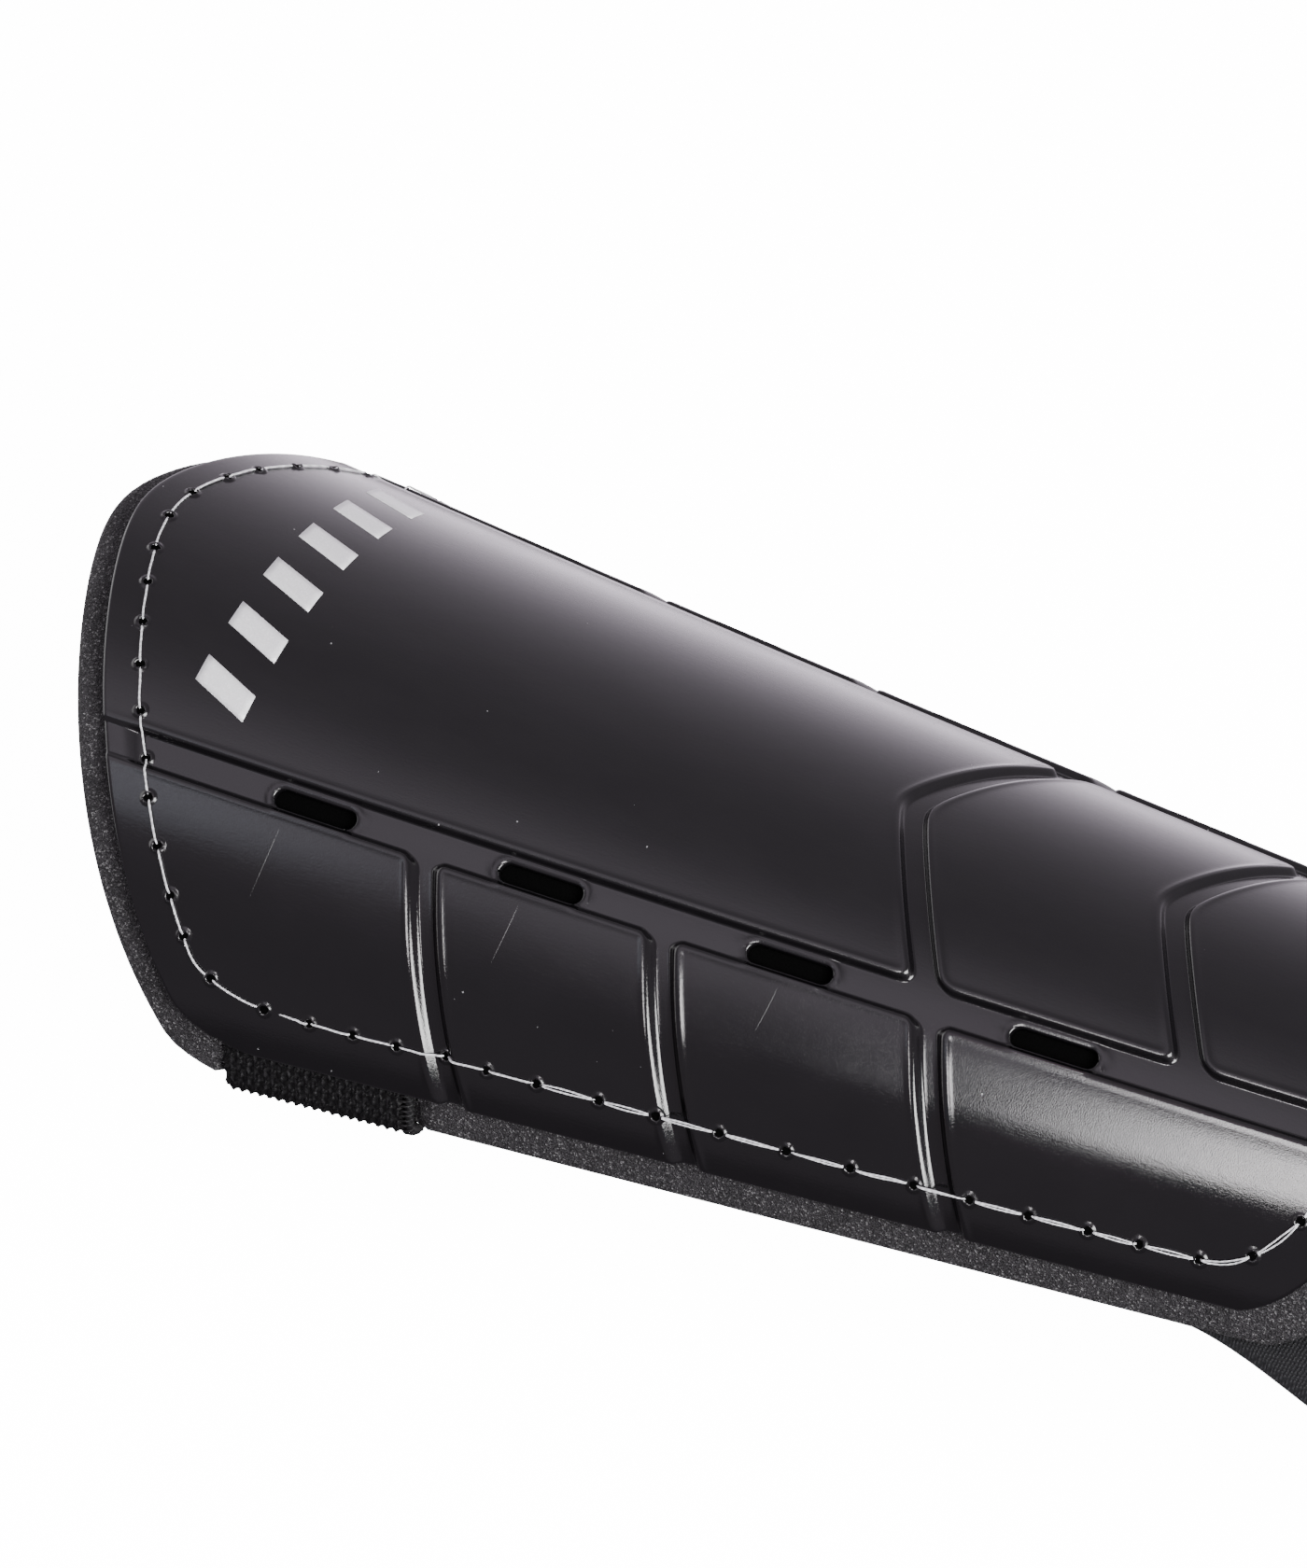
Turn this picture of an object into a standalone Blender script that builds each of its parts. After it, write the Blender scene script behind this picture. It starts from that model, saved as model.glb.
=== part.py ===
"""Football shin guard with a moulded shell, foam backing, calf strap and knit ankle sleeve.

The guard lies with its hollow side down. X runs from the knee end to the foot end, the near side is -Y and Z is up.
All lengths below are in millimetres, and station x = 0 is the middle of the first vent slot.
"""

import math

import bmesh
import bpy
from mathutils import Matrix, Vector

# Outer skin of the shell: half an ellipse at each station, tapering to the ankle.
SLOT_X = (0.0, 35.6, 74.0, 113.8)
SKIN_X = (-38.0, 159.6)
HALF_WIDTH = (60.35, 39.6)
RISE = (56.0, 35.1)
SADDLE = 1.64
EDGE_Z = 11.3
EDGE_ANGLE = math.radians(83.2)
GROOVE_ANGLE = (math.radians(40.3), math.radians(38.1))

# Ends of the shell along the ridge, and how far each curves back to the side.
KNEE_X = -48.4
FOOT_X = 168.0
KNEE_GIRTH = 78.0
FOOT_GIRTH = 57.0

# Layers, measured inwards from the skin.
SHELL_WALL = 2.3
GROOVE_DEPTH = 1.1
FOAM = (2.6, 7.6)
LINING = (7.9, 8.7)
FOAM_BORDER = 4.5
FOAM_DROP = 8.3
LINING_BORDER = 3.7
LINING_DROP = 7.5

# Grooves of the shell.
GROOVE_IN = 3.1
GROOVE_OUT = 2.6
WALL_RUN = 0.9
CROSS_HALF = 2.4
CROSS_SKEW = 0.35
CROSS_X = (17.6, 54.6, 95.2)
CHEVRON_X = (94.7, 134.5)
CHEVRON_SLOPE = 0.56
SLOT_LENGTH = 13.4
SLOT_WIDTH = 3.4

# Lockstitch line and its thread.
STITCH_INSET_END = 5.4
STITCH_INSET_SIDE = 8.0
THREAD_R = 0.2

# Calf strap.
STRAP_X = (-6.0, 22.2)
OVERLOCK_X = (22.5, 24.1)
STRAP_THICK = 1.3
STRAP_HINGE_Y = -45.0
STRAP_END_Y = 56.0
POCKET_X = (-6.6, 24.7)
POCKET_TOP = 12.0
STRAP_TOP = 11.0
TAB_THICK = 0.9
TAB_END_Y = 20.0
HOOK_Y = (22.0, 50.0)

# Ankle sleeve.
MOUTH_X = 106.0
PIVOT_X = 212.0
SLEEVE_END_X = 258.0
BINDING = 6.0
KNIT = 1.1
FOLD = 2.7
HEEL_X = 210.0
HEEL_R = 19.0
PAD_X = 189.0
PAD_Y = 25.0
PAD_R = 18.5
PAD_RISE = 3.6

GAP = 0.3
CENTRE_X = (KNEE_X - FOAM_BORDER + SLEEVE_END_X) / 2


def lerp(a, b, t):
    return a + (b - a) * t


def smooth(t):
    t = min(1.0, max(0.0, t))
    return t * t * (3 - 2 * t)


def spread(low, high, count):
    return [lerp(low, high, i / (count - 1)) for i in range(count)]


# --- the skin ------------------------------------------------------------------------------------


def along(x):
    return (x - SKIN_X[0]) / (SKIN_X[1] - SKIN_X[0])


def half_width(x):
    return lerp(HALF_WIDTH[0], HALF_WIDTH[1], along(x))


def rise(x):
    w = along(x)
    return lerp(RISE[0], RISE[1], w) - SADDLE * 4 * w * (1 - w)


def radius(x):
    return (half_width(x) + rise(x)) / 2


def skin(x, phi, offset=0.0):
    """Point of the skin at station x and angle phi from the ridge, moved out by offset."""
    a = half_width(x)
    h = rise(x)
    normal_y = -h * math.sin(phi)
    normal_z = a * math.cos(phi)
    size = math.hypot(normal_y, normal_z)
    y = -a * math.sin(phi) + offset * normal_y / size
    z = EDGE_Z + h * (math.cos(phi) - math.cos(EDGE_ANGLE)) + offset * normal_z / size
    return (x, y, z)


def edge_angle(x, drop=0.0):
    """Angle at which the skin is drop millimetres below the shell's edge."""
    return math.acos(math.cos(EDGE_ANGLE) - drop / rise(x))


def rounded_corner(girth, total, reach, run):
    """Extra setback of an end outline where it turns into the side edge."""
    t = min(1.0, max(0.0, (girth - (total - reach)) / reach))
    return run * (1 - math.sqrt(1 - t * t))


def knee_outline(s, grow=0.0):
    total = KNEE_GIRTH + grow
    girth = abs(s) * total
    back = 0.40 * (math.hypot(girth, 8) - 8) + 0.0017 * girth**2
    return KNEE_X - grow * (1 + 0.12 * abs(s)) + back + rounded_corner(girth, total, 6.5, 13.0)


def foot_outline(s, grow=0.0):
    total = FOOT_GIRTH + grow
    girth = abs(s) * total
    return FOOT_X + grow * (1 + 0.15 * abs(s)) - 0.0042 * girth**2 - rounded_corner(girth, total, 12.0, 7.0)


# --- solids --------------------------------------------------------------------------------------


def material(name, colour, rough):
    made = bpy.data.materials.new(name)
    made.use_nodes = True
    shader = made.node_tree.nodes["Principled BSDF"]
    shader.inputs["Base Color"].default_value = (*colour, 1.0)
    shader.inputs["Roughness"].default_value = rough
    return made


def add_solid(name, points, faces, slot, smooth_shaded=True):
    mesh = bpy.data.meshes.new(name)
    placed = [((x - CENTRE_X) / 1000, y / 1000, z / 1000) for x, y, z in points]
    mesh.from_pydata(placed, [], faces)
    shape = bmesh.new()
    shape.from_mesh(mesh)
    bmesh.ops.remove_doubles(shape, verts=shape.verts, dist=1e-8)
    bmesh.ops.recalc_face_normals(shape, faces=shape.faces)
    for face in shape.faces:
        face.smooth = smooth_shaded
    shape.to_mesh(mesh)
    shape.free()
    if slot is not None:
        mesh.materials.append(slot)
    obj = bpy.data.objects.new(name, mesh)
    bpy.context.scene.collection.objects.link(obj)
    return obj


def grid_solid(name, outer, inner, slot):
    """Closed sheet between two grids of points with the same rows and columns."""
    rows = len(outer)
    cols = len(outer[0])
    count = rows * cols
    points = [p for row in outer for p in row] + [p for row in inner for p in row]
    faces = []
    for j in range(rows - 1):
        for i in range(cols - 1):
            a = j * cols + i
            faces.append((a, a + 1, a + cols + 1, a + cols))
            faces.append((a + count, a + cols + count, a + cols + 1 + count, a + 1 + count))
    rim = [i for i in range(cols)]
    rim += [j * cols + cols - 1 for j in range(1, rows)]
    rim += [(rows - 1) * cols + i for i in range(cols - 2, -1, -1)]
    rim += [j * cols for j in range(rows - 2, 0, -1)]
    for k, a in enumerate(rim):
        b = rim[(k + 1) % len(rim)]
        faces.append((b, a, a + count, b + count))
    return add_solid(name, points, faces, slot)


def loft_solid(name, sections, slot, smooth_shaded=True):
    """Closed solid through flat polygons that all have the same number of points."""
    size = len(sections[0])
    points = [p for section in sections for p in section]
    faces = [tuple(range(size - 1, -1, -1))]
    last = (len(sections) - 1) * size
    faces.append(tuple(range(last, last + size)))
    for j in range(len(sections) - 1):
        for i in range(size):
            a = j * size + i
            b = j * size + (i + 1) % size
            faces.append((a, b, b + size, a + size))
    return add_solid(name, points, faces, slot, smooth_shaded)


def pipe_solid(name, outer, inner, slot):
    """Closed tube wall between matching outer and inner rings."""
    size = len(outer[0])
    count = len(outer) * size
    points = [p for ring in outer for p in ring] + [p for ring in inner for p in ring]
    faces = []
    for j in range(len(outer) - 1):
        for i in range(size):
            a = j * size + i
            b = j * size + (i + 1) % size
            faces.append((a, b, b + size, a + size))
            faces.append((a + count, a + size + count, b + size + count, b + count))
    for start in (0, (len(outer) - 1) * size):
        for i in range(size):
            a = start + i
            b = start + (i + 1) % size
            faces.append((a, b, b + count, a + count))
    return add_solid(name, points, faces, slot)


def cut(obj, cutters):
    """Takes each cutter out of obj and removes the cutters."""
    for cutter in cutters:
        modifier = obj.modifiers.new("cut", "BOOLEAN")
        modifier.operation = "DIFFERENCE"
        modifier.solver = "EXACT"
        modifier.object = cutter
        cutter.hide_render = True
        cutter.display_type = "WIRE"
    bpy.context.view_layer.update()
    graph = bpy.context.evaluated_depsgraph_get()
    mesh = bpy.data.meshes.new_from_object(obj.evaluated_get(graph))
    obj.modifiers.clear()
    obj.data = mesh
    for cutter in cutters:
        bpy.data.objects.remove(cutter)


def set_origin(obj, pivot):
    """Moves a moving piece's origin onto its joint axis and leaves its shape where it is."""
    x, y, z = pivot
    spot = Vector(((x - CENTRE_X) / 1000, y / 1000, z / 1000))
    obj.data.transform(Matrix.Translation(-spot))
    obj.location = spot


# --- shell, foam and lining ----------------------------------------------------------------------


def shell_angles(x):
    """Angles of the grid lines on one side, and the index of each feature line."""
    r = radius(x)
    groove = lerp(GROOVE_ANGLE[0], GROOVE_ANGLE[1], along(x))
    inner_top = groove - GROOVE_IN / r
    outer_top = groove + GROOVE_OUT / r
    lines = [inner_top * f for f in (0, 0.25, 0.5, 0.75, 1)]
    lines.append(inner_top + WALL_RUN / r)
    lines.append(outer_top - WALL_RUN / r)
    lines += [lerp(outer_top, EDGE_ANGLE, f) for f in (0, 0.3, 0.6, 0.85, 1)]
    return lines


INNER_TOP = 4
OUTER_TOP = 7
SIDE_LINES = 12


def shell_row(j):
    """Stations of one row of the shell's grid, and which of them are groove floors."""
    line = abs(j)
    knee_angle = shell_angles(-30.0)[line]
    foot_angle = shell_angles(150.0)[line]
    start = knee_outline(knee_angle / EDGE_ANGLE)
    end = foot_outline(foot_angle / EDGE_ANGLE)
    stations = [start]
    floors = [False]
    centres = [(CROSS_X[0], False), (CROSS_X[1], False), (CROSS_X[2], True), (CHEVRON_X[1], True)]
    fillers = (2, 2, 2, 1, 2)
    for k, (centre, chevron) in enumerate(centres):
        r = radius(centre)
        groove = lerp(GROOVE_ANGLE[0], GROOVE_ANGLE[1], along(centre)) * r
        girth = shell_angles(centre)[line] * r
        if line <= INNER_TOP:
            bend = CHEVRON_SLOPE if chevron else 0.0
            middle = centre - bend * (groove - math.hypot(girth, 2.0))
            floor = chevron
        else:
            middle = centre + CROSS_SKEW * (girth - groove)
            floor = k < 3 and line >= OUTER_TOP
        if k == 3 and line > INNER_TOP:
            share = smooth((girth - groove) / 20.0)
            middle = lerp(centre, lerp(stations[-1], end, 0.5), share)
        knots = [middle + d for d in (-CROSS_HALF, -CROSS_HALF + WALL_RUN, CROSS_HALF - WALL_RUN, CROSS_HALF)]
        before = stations[-1]
        for f in range(1, fillers[k] + 1):
            stations.append(lerp(before, knots[0], f / (fillers[k] + 1)))
            floors.append(False)
        stations += knots
        floors += [False, floor, floor, False]
    before = stations[-1]
    for f in range(1, fillers[4] + 1):
        stations.append(lerp(before, end, f / (fillers[4] + 1)))
        floors.append(False)
    stations.append(end)
    floors.append(False)
    in_groove = line in (INNER_TOP + 1, OUTER_TOP - 1)
    return stations, [flag or in_groove for flag in floors]


def slot_cutter(k, side):
    """Rounded bar standing through the shell at vent slot k."""
    x = SLOT_X[k]
    phi = side * (lerp(GROOVE_ANGLE[0], GROOVE_ANGLE[1], along(x)) + 0.2 / radius(x))
    centre = Vector(skin(x, phi))
    normal = (Vector(skin(x, phi, 1.0)) - centre).normalized()
    slope = Vector(skin(x + 1, phi)) - centre
    length = (slope - normal * slope.dot(normal)).normalized()
    across = normal.cross(length)
    outline = []
    for end in (1, -1):
        for step in range(5):
            turn = math.radians(-90 + 45 * step)
            run = (SLOT_LENGTH - SLOT_WIDTH) / 2 + SLOT_WIDTH / 2 * math.cos(turn)
            outline.append((end * run, end * SLOT_WIDTH / 2 * math.sin(turn)))
    sections = []
    for height in (-6.0, 4.0):
        sections.append([tuple(centre + length * u + across * v + normal * height) for u, v in outline])
    return loft_solid("slot_cutter", sections, None, False)


def build_shell(slot):
    outer = []
    inner = []
    for j in range(1 - SIDE_LINES, SIDE_LINES):
        stations, floors = shell_row(j)
        side = 1 if j > 0 else -1
        angles = [side * shell_angles(x)[abs(j)] for x in stations]
        outer.append([skin(x, p, -GROOVE_DEPTH if f else 0.0) for x, p, f in zip(stations, angles, floors)])
        inner.append([skin(x, p, -SHELL_WALL) for x, p in zip(stations, angles)])
    shell = grid_solid("hard_shell", outer, inner, slot)
    cut(shell, [slot_cutter(k, side) for k in range(4) for side in (1, -1)])
    return shell


def layer(name, offsets, grow, drop, rows, cols, slot):
    """A soft layer under the shell, from one depth to another."""
    outer = []
    inner = []
    for s in spread(-1, 1, rows):
        s = s * (1.35 - 0.35 * s * s)
        start = knee_outline(s, grow)
        end = foot_outline(s, grow)
        stations = [lerp(start, end, t) for t in spread(0, 1, cols)]
        angles = [s * edge_angle(x, drop) for x in stations]
        outer.append([skin(x, p, -offsets[0]) for x, p in zip(stations, angles)])
        inner.append([skin(x, p, -offsets[1]) for x, p in zip(stations, angles)])
    return grid_solid(name, outer, inner, slot)


def mirror_y(section):
    return [(x, -y, z) for x, y, z in section]


def angle_above_edge(x, height):
    return EDGE_ANGLE - height / radius(x)


def pocket_cutter(side):
    """Space in the foam's outer face for a strap end that is sewn in under the shell."""
    sections = []
    for x in spread(POCKET_X[0], POCKET_X[1], 6):
        angles = spread(angle_above_edge(x, POCKET_TOP), edge_angle(x, FOAM_DROP + 1.7), 5)
        deep = [skin(x, p, -FOAM[0] - 1.6) for p in angles]
        shallow = [skin(x, p, 1.0) for p in angles]
        section = deep + shallow[::-1]
        sections.append(section if side > 0 else mirror_y(section)[::-1])
    return loft_solid("pocket_cutter", sections, None, False)


def box_solid(name, low, high, slot):
    x0, y0, z0 = low
    x1, y1, z1 = high
    sections = [[(x, y0, z0), (x, y1, z0), (x, y1, z1), (x, y0, z1)] for x in (x0, x1)]
    return loft_solid(name, sections, slot, False)


def build_foam(slot):
    foam = layer("foam_backing", FOAM, FOAM_BORDER, FOAM_DROP, 19, 17, slot)
    under_tab = box_solid("tab_cutter", (POCKET_X[0], 40, -2), (POCKET_X[1], 75, 4.1), None)
    cut(foam, [pocket_cutter(1), pocket_cutter(-1), under_tab])
    return foam


def build_lining(slot):
    lining = layer("inner_lining", LINING, LINING_BORDER, LINING_DROP, 17, 13, slot)
    under_tab = box_solid("tab_cutter", (POCKET_X[0], 40, -2), (POCKET_X[1], 75, 4.1), None)
    cut(lining, [under_tab])
    return lining


# --- stitching -----------------------------------------------------------------------------------


def stitch_path():
    """Closed loop of (station, angle) that runs inside the shell's edge."""
    path = []
    knee = spread(-1, 1, 27)
    for s in knee:
        s = s * (1.3 - 0.3 * s * s)
        x = knee_outline(s, -STITCH_INSET_END)
        path.append((x, s * angle_above_edge(x, STITCH_INSET_SIDE)))
    start = path[-1][0]
    end = foot_outline(1, -STITCH_INSET_END)
    for x in spread(start, end, 18)[1:-1]:
        path.append((x, angle_above_edge(x, STITCH_INSET_SIDE)))
    for s in spread(1, -1, 19):
        s = s * (1.3 - 0.3 * s * s)
        x = foot_outline(s, -STITCH_INSET_END)
        path.append((x, s * angle_above_edge(x, STITCH_INSET_SIDE)))
    for x in spread(end, start, 18)[1:-1]:
        path.append((x, -angle_above_edge(x, STITCH_INSET_SIDE)))
    return path


def closed_cord(name, path, cord_radius, sides, slot):
    """Round cord along a closed path of points."""
    spots = [Vector(p) for p in path]
    count = len(spots)
    points = []
    for i, spot in enumerate(spots):
        ahead = (spots[(i + 1) % count] - spots[i - 1]).normalized()
        across = ahead.cross(Vector((0, 0, 1))).normalized()
        up = across.cross(ahead)
        for k in range(sides):
            turn = 2 * math.pi * k / sides
            points.append(tuple(spot + across * (math.cos(turn) * cord_radius) + up * (math.sin(turn) * cord_radius)))
    faces = []
    for i in range(count):
        for k in range(sides):
            a = i * sides + k
            b = i * sides + (k + 1) % sides
            c = ((i + 1) % count) * sides + (k + 1) % sides
            d = ((i + 1) % count) * sides + k
            faces.append((a, b, c, d))
    return add_solid(name, points, faces, slot)


def build_thread(slot):
    path = [skin(x, p, GAP + THREAD_R) for x, p in stitch_path()]
    return closed_cord("perimeter_thread", path, THREAD_R, 4, slot)


# --- calf strap ----------------------------------------------------------------------------------


def hook_section(x, thick, floor, leg_end, bend):
    """A strap end that comes down between shell and foam and turns in under the foam's edge."""
    angles = spread(angle_above_edge(x, STRAP_TOP), edge_angle(x, EDGE_Z - floor - bend), 5)
    outer = [skin(x, p, -FOAM[0]) for p in angles]
    inner = [skin(x, p, -FOAM[0] - thick) for p in angles]
    y = outer[-1][1]
    z = outer[-1][2]
    turns = [math.radians(t) for t in (22.5, 45, 67.5, 90)]
    r_out = z - floor
    r_in = r_out - thick
    outer += [(x, y + r_out - r_out * math.cos(t), z - r_out * math.sin(t)) for t in turns]
    inner += [(x, y + r_out - r_in * math.cos(t), z - r_in * math.sin(t)) for t in turns]
    outer.append((x, leg_end, floor))
    inner.append((x, leg_end, floor + thick))
    return outer + inner[::-1]


def build_strap(webbing, thread, hooks, pile):
    leg = STRAP_HINGE_Y - GAP / 2
    sections = [hook_section(x, STRAP_THICK, 0.0, leg, 4.0) for x in spread(STRAP_X[0], STRAP_X[1], 5)]
    loft_solid("strap_anchor", sections, webbing)
    sections = [hook_section(x, STRAP_THICK, 0.0, leg, 4.0) for x in OVERLOCK_X]
    loft_solid("anchor_overlock", sections, thread)

    sections = [hook_section(x, TAB_THICK, 2.9, -TAB_END_Y, 2.1) for x in spread(STRAP_X[0], STRAP_X[1], 5)]
    loft_solid("loop_tab", [mirror_y(section)[::-1] for section in sections], webbing)
    box_solid("loop_pile", (STRAP_X[0] + 1, TAB_END_Y + 1, 2.2), (STRAP_X[1] - 1, 51, 2.7), pile)

    start = STRAP_HINGE_Y + GAP / 2
    outline = [(STRAP_X[0], start), (STRAP_X[1], start)]
    for turn in spread(0, 90, 5):
        a = math.radians(turn)
        outline.append((STRAP_X[1] - 6 + 6 * math.cos(a), STRAP_END_Y - 6 + 6 * math.sin(a)))
    for turn in spread(90, 180, 5):
        a = math.radians(turn)
        outline.append((STRAP_X[0] + 6 + 6 * math.cos(a), STRAP_END_Y - 6 + 6 * math.sin(a)))
    sections = [[(x, y, z) for x, y in outline] for z in (0.0, STRAP_THICK - 0.1)]
    top = STRAP_THICK - 0.1
    band = loft_solid("calf_strap", sections, webbing, False)
    edge = box_solid("strap_overlock", (OVERLOCK_X[0], start, 0.0), (OVERLOCK_X[1], STRAP_END_Y - 7, top), thread)
    patch = box_solid("hook_patch", (STRAP_X[0] + 2, HOOK_Y[0], 1.4), (STRAP_X[1] - 2, HOOK_Y[1], 2.0), hooks)
    for piece in (band, edge, patch):
        set_origin(piece, ((STRAP_X[0] + STRAP_X[1]) / 2, STRAP_HINGE_Y, 0.0))


# --- ankle sleeve --------------------------------------------------------------------------------


def sleeve_width(x):
    if x < PIVOT_X:
        return lerp(35.0, 48.5, smooth((x - 136.0) / 44.0))
    return lerp(48.5, 43.0, smooth((x - PIVOT_X) / 50))


def sleeve_top(x, y):
    """Height of the sleeve's upper layer, which stands up where the pads keep it open."""
    beyond = smooth((x - 158.0) / 26.0)
    reach = lerp(29.0, sleeve_width(x) - 3.0, beyond)
    height = lerp(10.5, 15.5, beyond) - 3.0 * smooth((x - PIVOT_X) / 46)
    t = min(1.0, abs(y) / reach)
    return FOLD + height * (1 - t * t) ** 1.4


def sleeve_ring(x, inset):
    w = sleeve_width(x) - FOLD / 2
    fold = FOLD / 2 - inset
    ring = [(x, y, inset) for y in spread(-w, w, 7)]
    ring.append((x, w + fold * 0.8, FOLD / 2 - fold * 0.6))
    ring.append((x, w + fold * 0.8, FOLD / 2 + fold * 0.6))
    ring += [(x, y, sleeve_top(x, y) - inset) for y in spread(w, -w, 17)]
    ring.append((x, -w - fold * 0.8, FOLD / 2 + fold * 0.6))
    ring.append((x, -w - fold * 0.8, FOLD / 2 - fold * 0.6))
    return ring


def sleeve_piece(name, stations, slot):
    outer = [sleeve_ring(x, 0.0) for x in stations]
    inner = [sleeve_ring(x, KNIT) for x in stations]
    return pipe_solid(name, outer, inner, slot)


def heel_cutter():
    outline = [
        (HEEL_X + HEEL_R * math.cos(math.radians(a)), HEEL_R * math.sin(math.radians(a)))
        for a in range(0, 360, 15)
    ]
    sections = [[(x, y, z) for x, y in outline] for z in (-2.0, 3.0)]
    return loft_solid("heel_cutter", sections, None, False)


def pad_grid(side, shrink, lift):
    """Rings of a round pad that lies on the sleeve's upper layer."""
    rings = []
    for f in (1.0, 0.93, 0.75, 0.5, 0.25):
        ring = []
        for k in range(20):
            turn = 2 * math.pi * k / 20
            r = (PAD_R - shrink) * f
            x = PAD_X + r * math.cos(turn)
            y = side * PAD_Y + r * math.sin(turn)
            dome = PAD_RISE * math.sqrt(max(0.0, 1 - f**3))
            ring.append((x, y, sleeve_top(x, y) + lift(dome)))
        rings.append(ring)
    return rings


def pad_solid(name, side, shrink, low, high, slot):
    upper = pad_grid(side, shrink, high)
    lower = pad_grid(side, shrink, low)
    points = []
    faces = []
    size = len(upper[0])
    for rings in (upper, lower):
        base = len(points)
        for ring in rings:
            points += ring
        for j in range(len(rings) - 1):
            for i in range(size):
                a = base + j * size + i
                b = base + j * size + (i + 1) % size
                faces.append((a, b, b + size, a + size))
        last = base + (len(rings) - 1) * size
        middle = [sum(c) / size for c in zip(*rings[-1])]
        points.append(tuple(middle))
        tip = len(points) - 1
        for i in range(size):
            faces.append((last + i, last + (i + 1) % size, tip))
    half = len(points) // 2
    for i in range(size):
        j = (i + 1) % size
        faces.append((i, j, j + half, i + half))
    return add_solid(name, points, faces, slot)


def build_sleeve(knit, band, pad, cover):
    cuff_start = MOUTH_X + BINDING + GAP
    stations = [cuff_start, 122, 134, 146, 156, 164, 172, 180, 190, 201, PIVOT_X - GAP / 2]
    cuff = sleeve_piece("ankle_cuff", stations, knit)
    cut(cuff, [heel_cutter()])
    sleeve_piece("cuff_binding", [MOUTH_X, MOUTH_X + BINDING], band)

    foot_end = SLEEVE_END_X - BINDING - GAP
    foot = sleeve_piece("foot_sleeve", [PIVOT_X + GAP / 2, 220, 230, 241, foot_end], knit)
    cut(foot, [heel_cutter()])
    edge = sleeve_piece("foot_binding", [SLEEVE_END_X - BINDING, SLEEVE_END_X], band)
    for piece in (foot, edge):
        set_origin(piece, (PIVOT_X, 0.0, sleeve_top(PIVOT_X, 0.0)))

    for side, word in ((-1, "near"), (1, "far")):
        pad_solid(f"pad_foam_{word}", side, 2.2, lambda d: 0.8, lambda d: 1.4 + d, pad)
        pad_solid(f"pad_cover_{word}", side, 0.0, lambda d: 1.8 + d if d > 0 else 0.8, lambda d: 2.6 + d, cover)


def main():
    for obj in list(bpy.data.objects):
        bpy.data.objects.remove(obj)
    shell = material("shell_black", (0.012, 0.012, 0.014), 0.25)
    foam = material("foam_charcoal", (0.035, 0.035, 0.038), 0.9)
    lining = material("lining_black", (0.02, 0.02, 0.022), 0.85)
    thread = material("thread_clear", (0.6, 0.6, 0.62), 0.35)
    webbing = material("webbing_black", (0.012, 0.012, 0.013), 0.8)
    edging = material("edging_black", (0.015, 0.015, 0.016), 0.75)
    hooks = material("hooks_black", (0.02, 0.02, 0.022), 0.5)
    pile = material("pile_black", (0.018, 0.018, 0.02), 0.95)
    knit = material("knit_black", (0.015, 0.015, 0.018), 0.9)
    build_shell(shell)
    build_foam(foam)
    build_lining(lining)
    build_thread(thread)
    build_strap(webbing, edging, hooks, pile)
    build_sleeve(knit, edging, foam, lining)


main()
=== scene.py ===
"""Looks of a football shin guard: moulded shell, foam, strap and knit ankle sleeve around its CAD frame."""

import math

import bpy
import numpy as np
from mathutils import Matrix, Vector

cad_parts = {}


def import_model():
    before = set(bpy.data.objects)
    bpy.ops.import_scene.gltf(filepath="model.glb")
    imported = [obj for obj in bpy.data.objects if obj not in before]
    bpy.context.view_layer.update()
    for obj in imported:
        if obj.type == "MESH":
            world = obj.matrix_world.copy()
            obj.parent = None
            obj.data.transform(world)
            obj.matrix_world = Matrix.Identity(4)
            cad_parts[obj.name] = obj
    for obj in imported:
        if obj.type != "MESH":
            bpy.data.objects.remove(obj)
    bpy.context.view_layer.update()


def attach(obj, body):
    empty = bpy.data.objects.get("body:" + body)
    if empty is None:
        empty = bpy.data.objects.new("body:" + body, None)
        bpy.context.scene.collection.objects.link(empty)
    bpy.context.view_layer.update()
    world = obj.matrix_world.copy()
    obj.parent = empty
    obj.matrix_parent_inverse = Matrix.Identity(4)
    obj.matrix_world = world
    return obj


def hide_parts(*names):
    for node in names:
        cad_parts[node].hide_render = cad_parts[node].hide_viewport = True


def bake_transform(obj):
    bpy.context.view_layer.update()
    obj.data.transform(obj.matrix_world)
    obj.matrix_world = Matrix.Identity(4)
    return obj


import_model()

# All lengths are in millimetres. X runs from the knee end to the foot end with zero at the first vent slot.
# The near side is -Y and Z is up. The angle phi runs round the leg from the ridge, positive on the near side.

# Outer skin of the shell: half an ellipse at each station.
SKIN_X = (-38.0, 159.6)
HALF_WIDTH = (60.35, 39.6)
RISE = (56.0, 35.1)
SADDLE = 1.64
EDGE_Z = 11.3
EDGE_ANGLE = math.radians(83.2)
GROOVE_ANGLE = (math.radians(40.3), math.radians(38.1))
# Ends of the shell along the ridge, and how far each curves back to the side.
KNEE_X = -48.4
FOOT_X = 168.0
KNEE_GIRTH = 78.0
FOOT_GIRTH = 57.0
# Layers, measured inwards from the skin, and how far the soft ones reach past the shell.
SHELL_WALL = 2.3
FOAM = (2.6, 7.6)
FOAM_BORDER = 4.5
FOAM_DROP = 8.3
LINING = (7.9, 8.7)
LINING_BORDER = 3.7
LINING_DROP = 7.5
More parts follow.
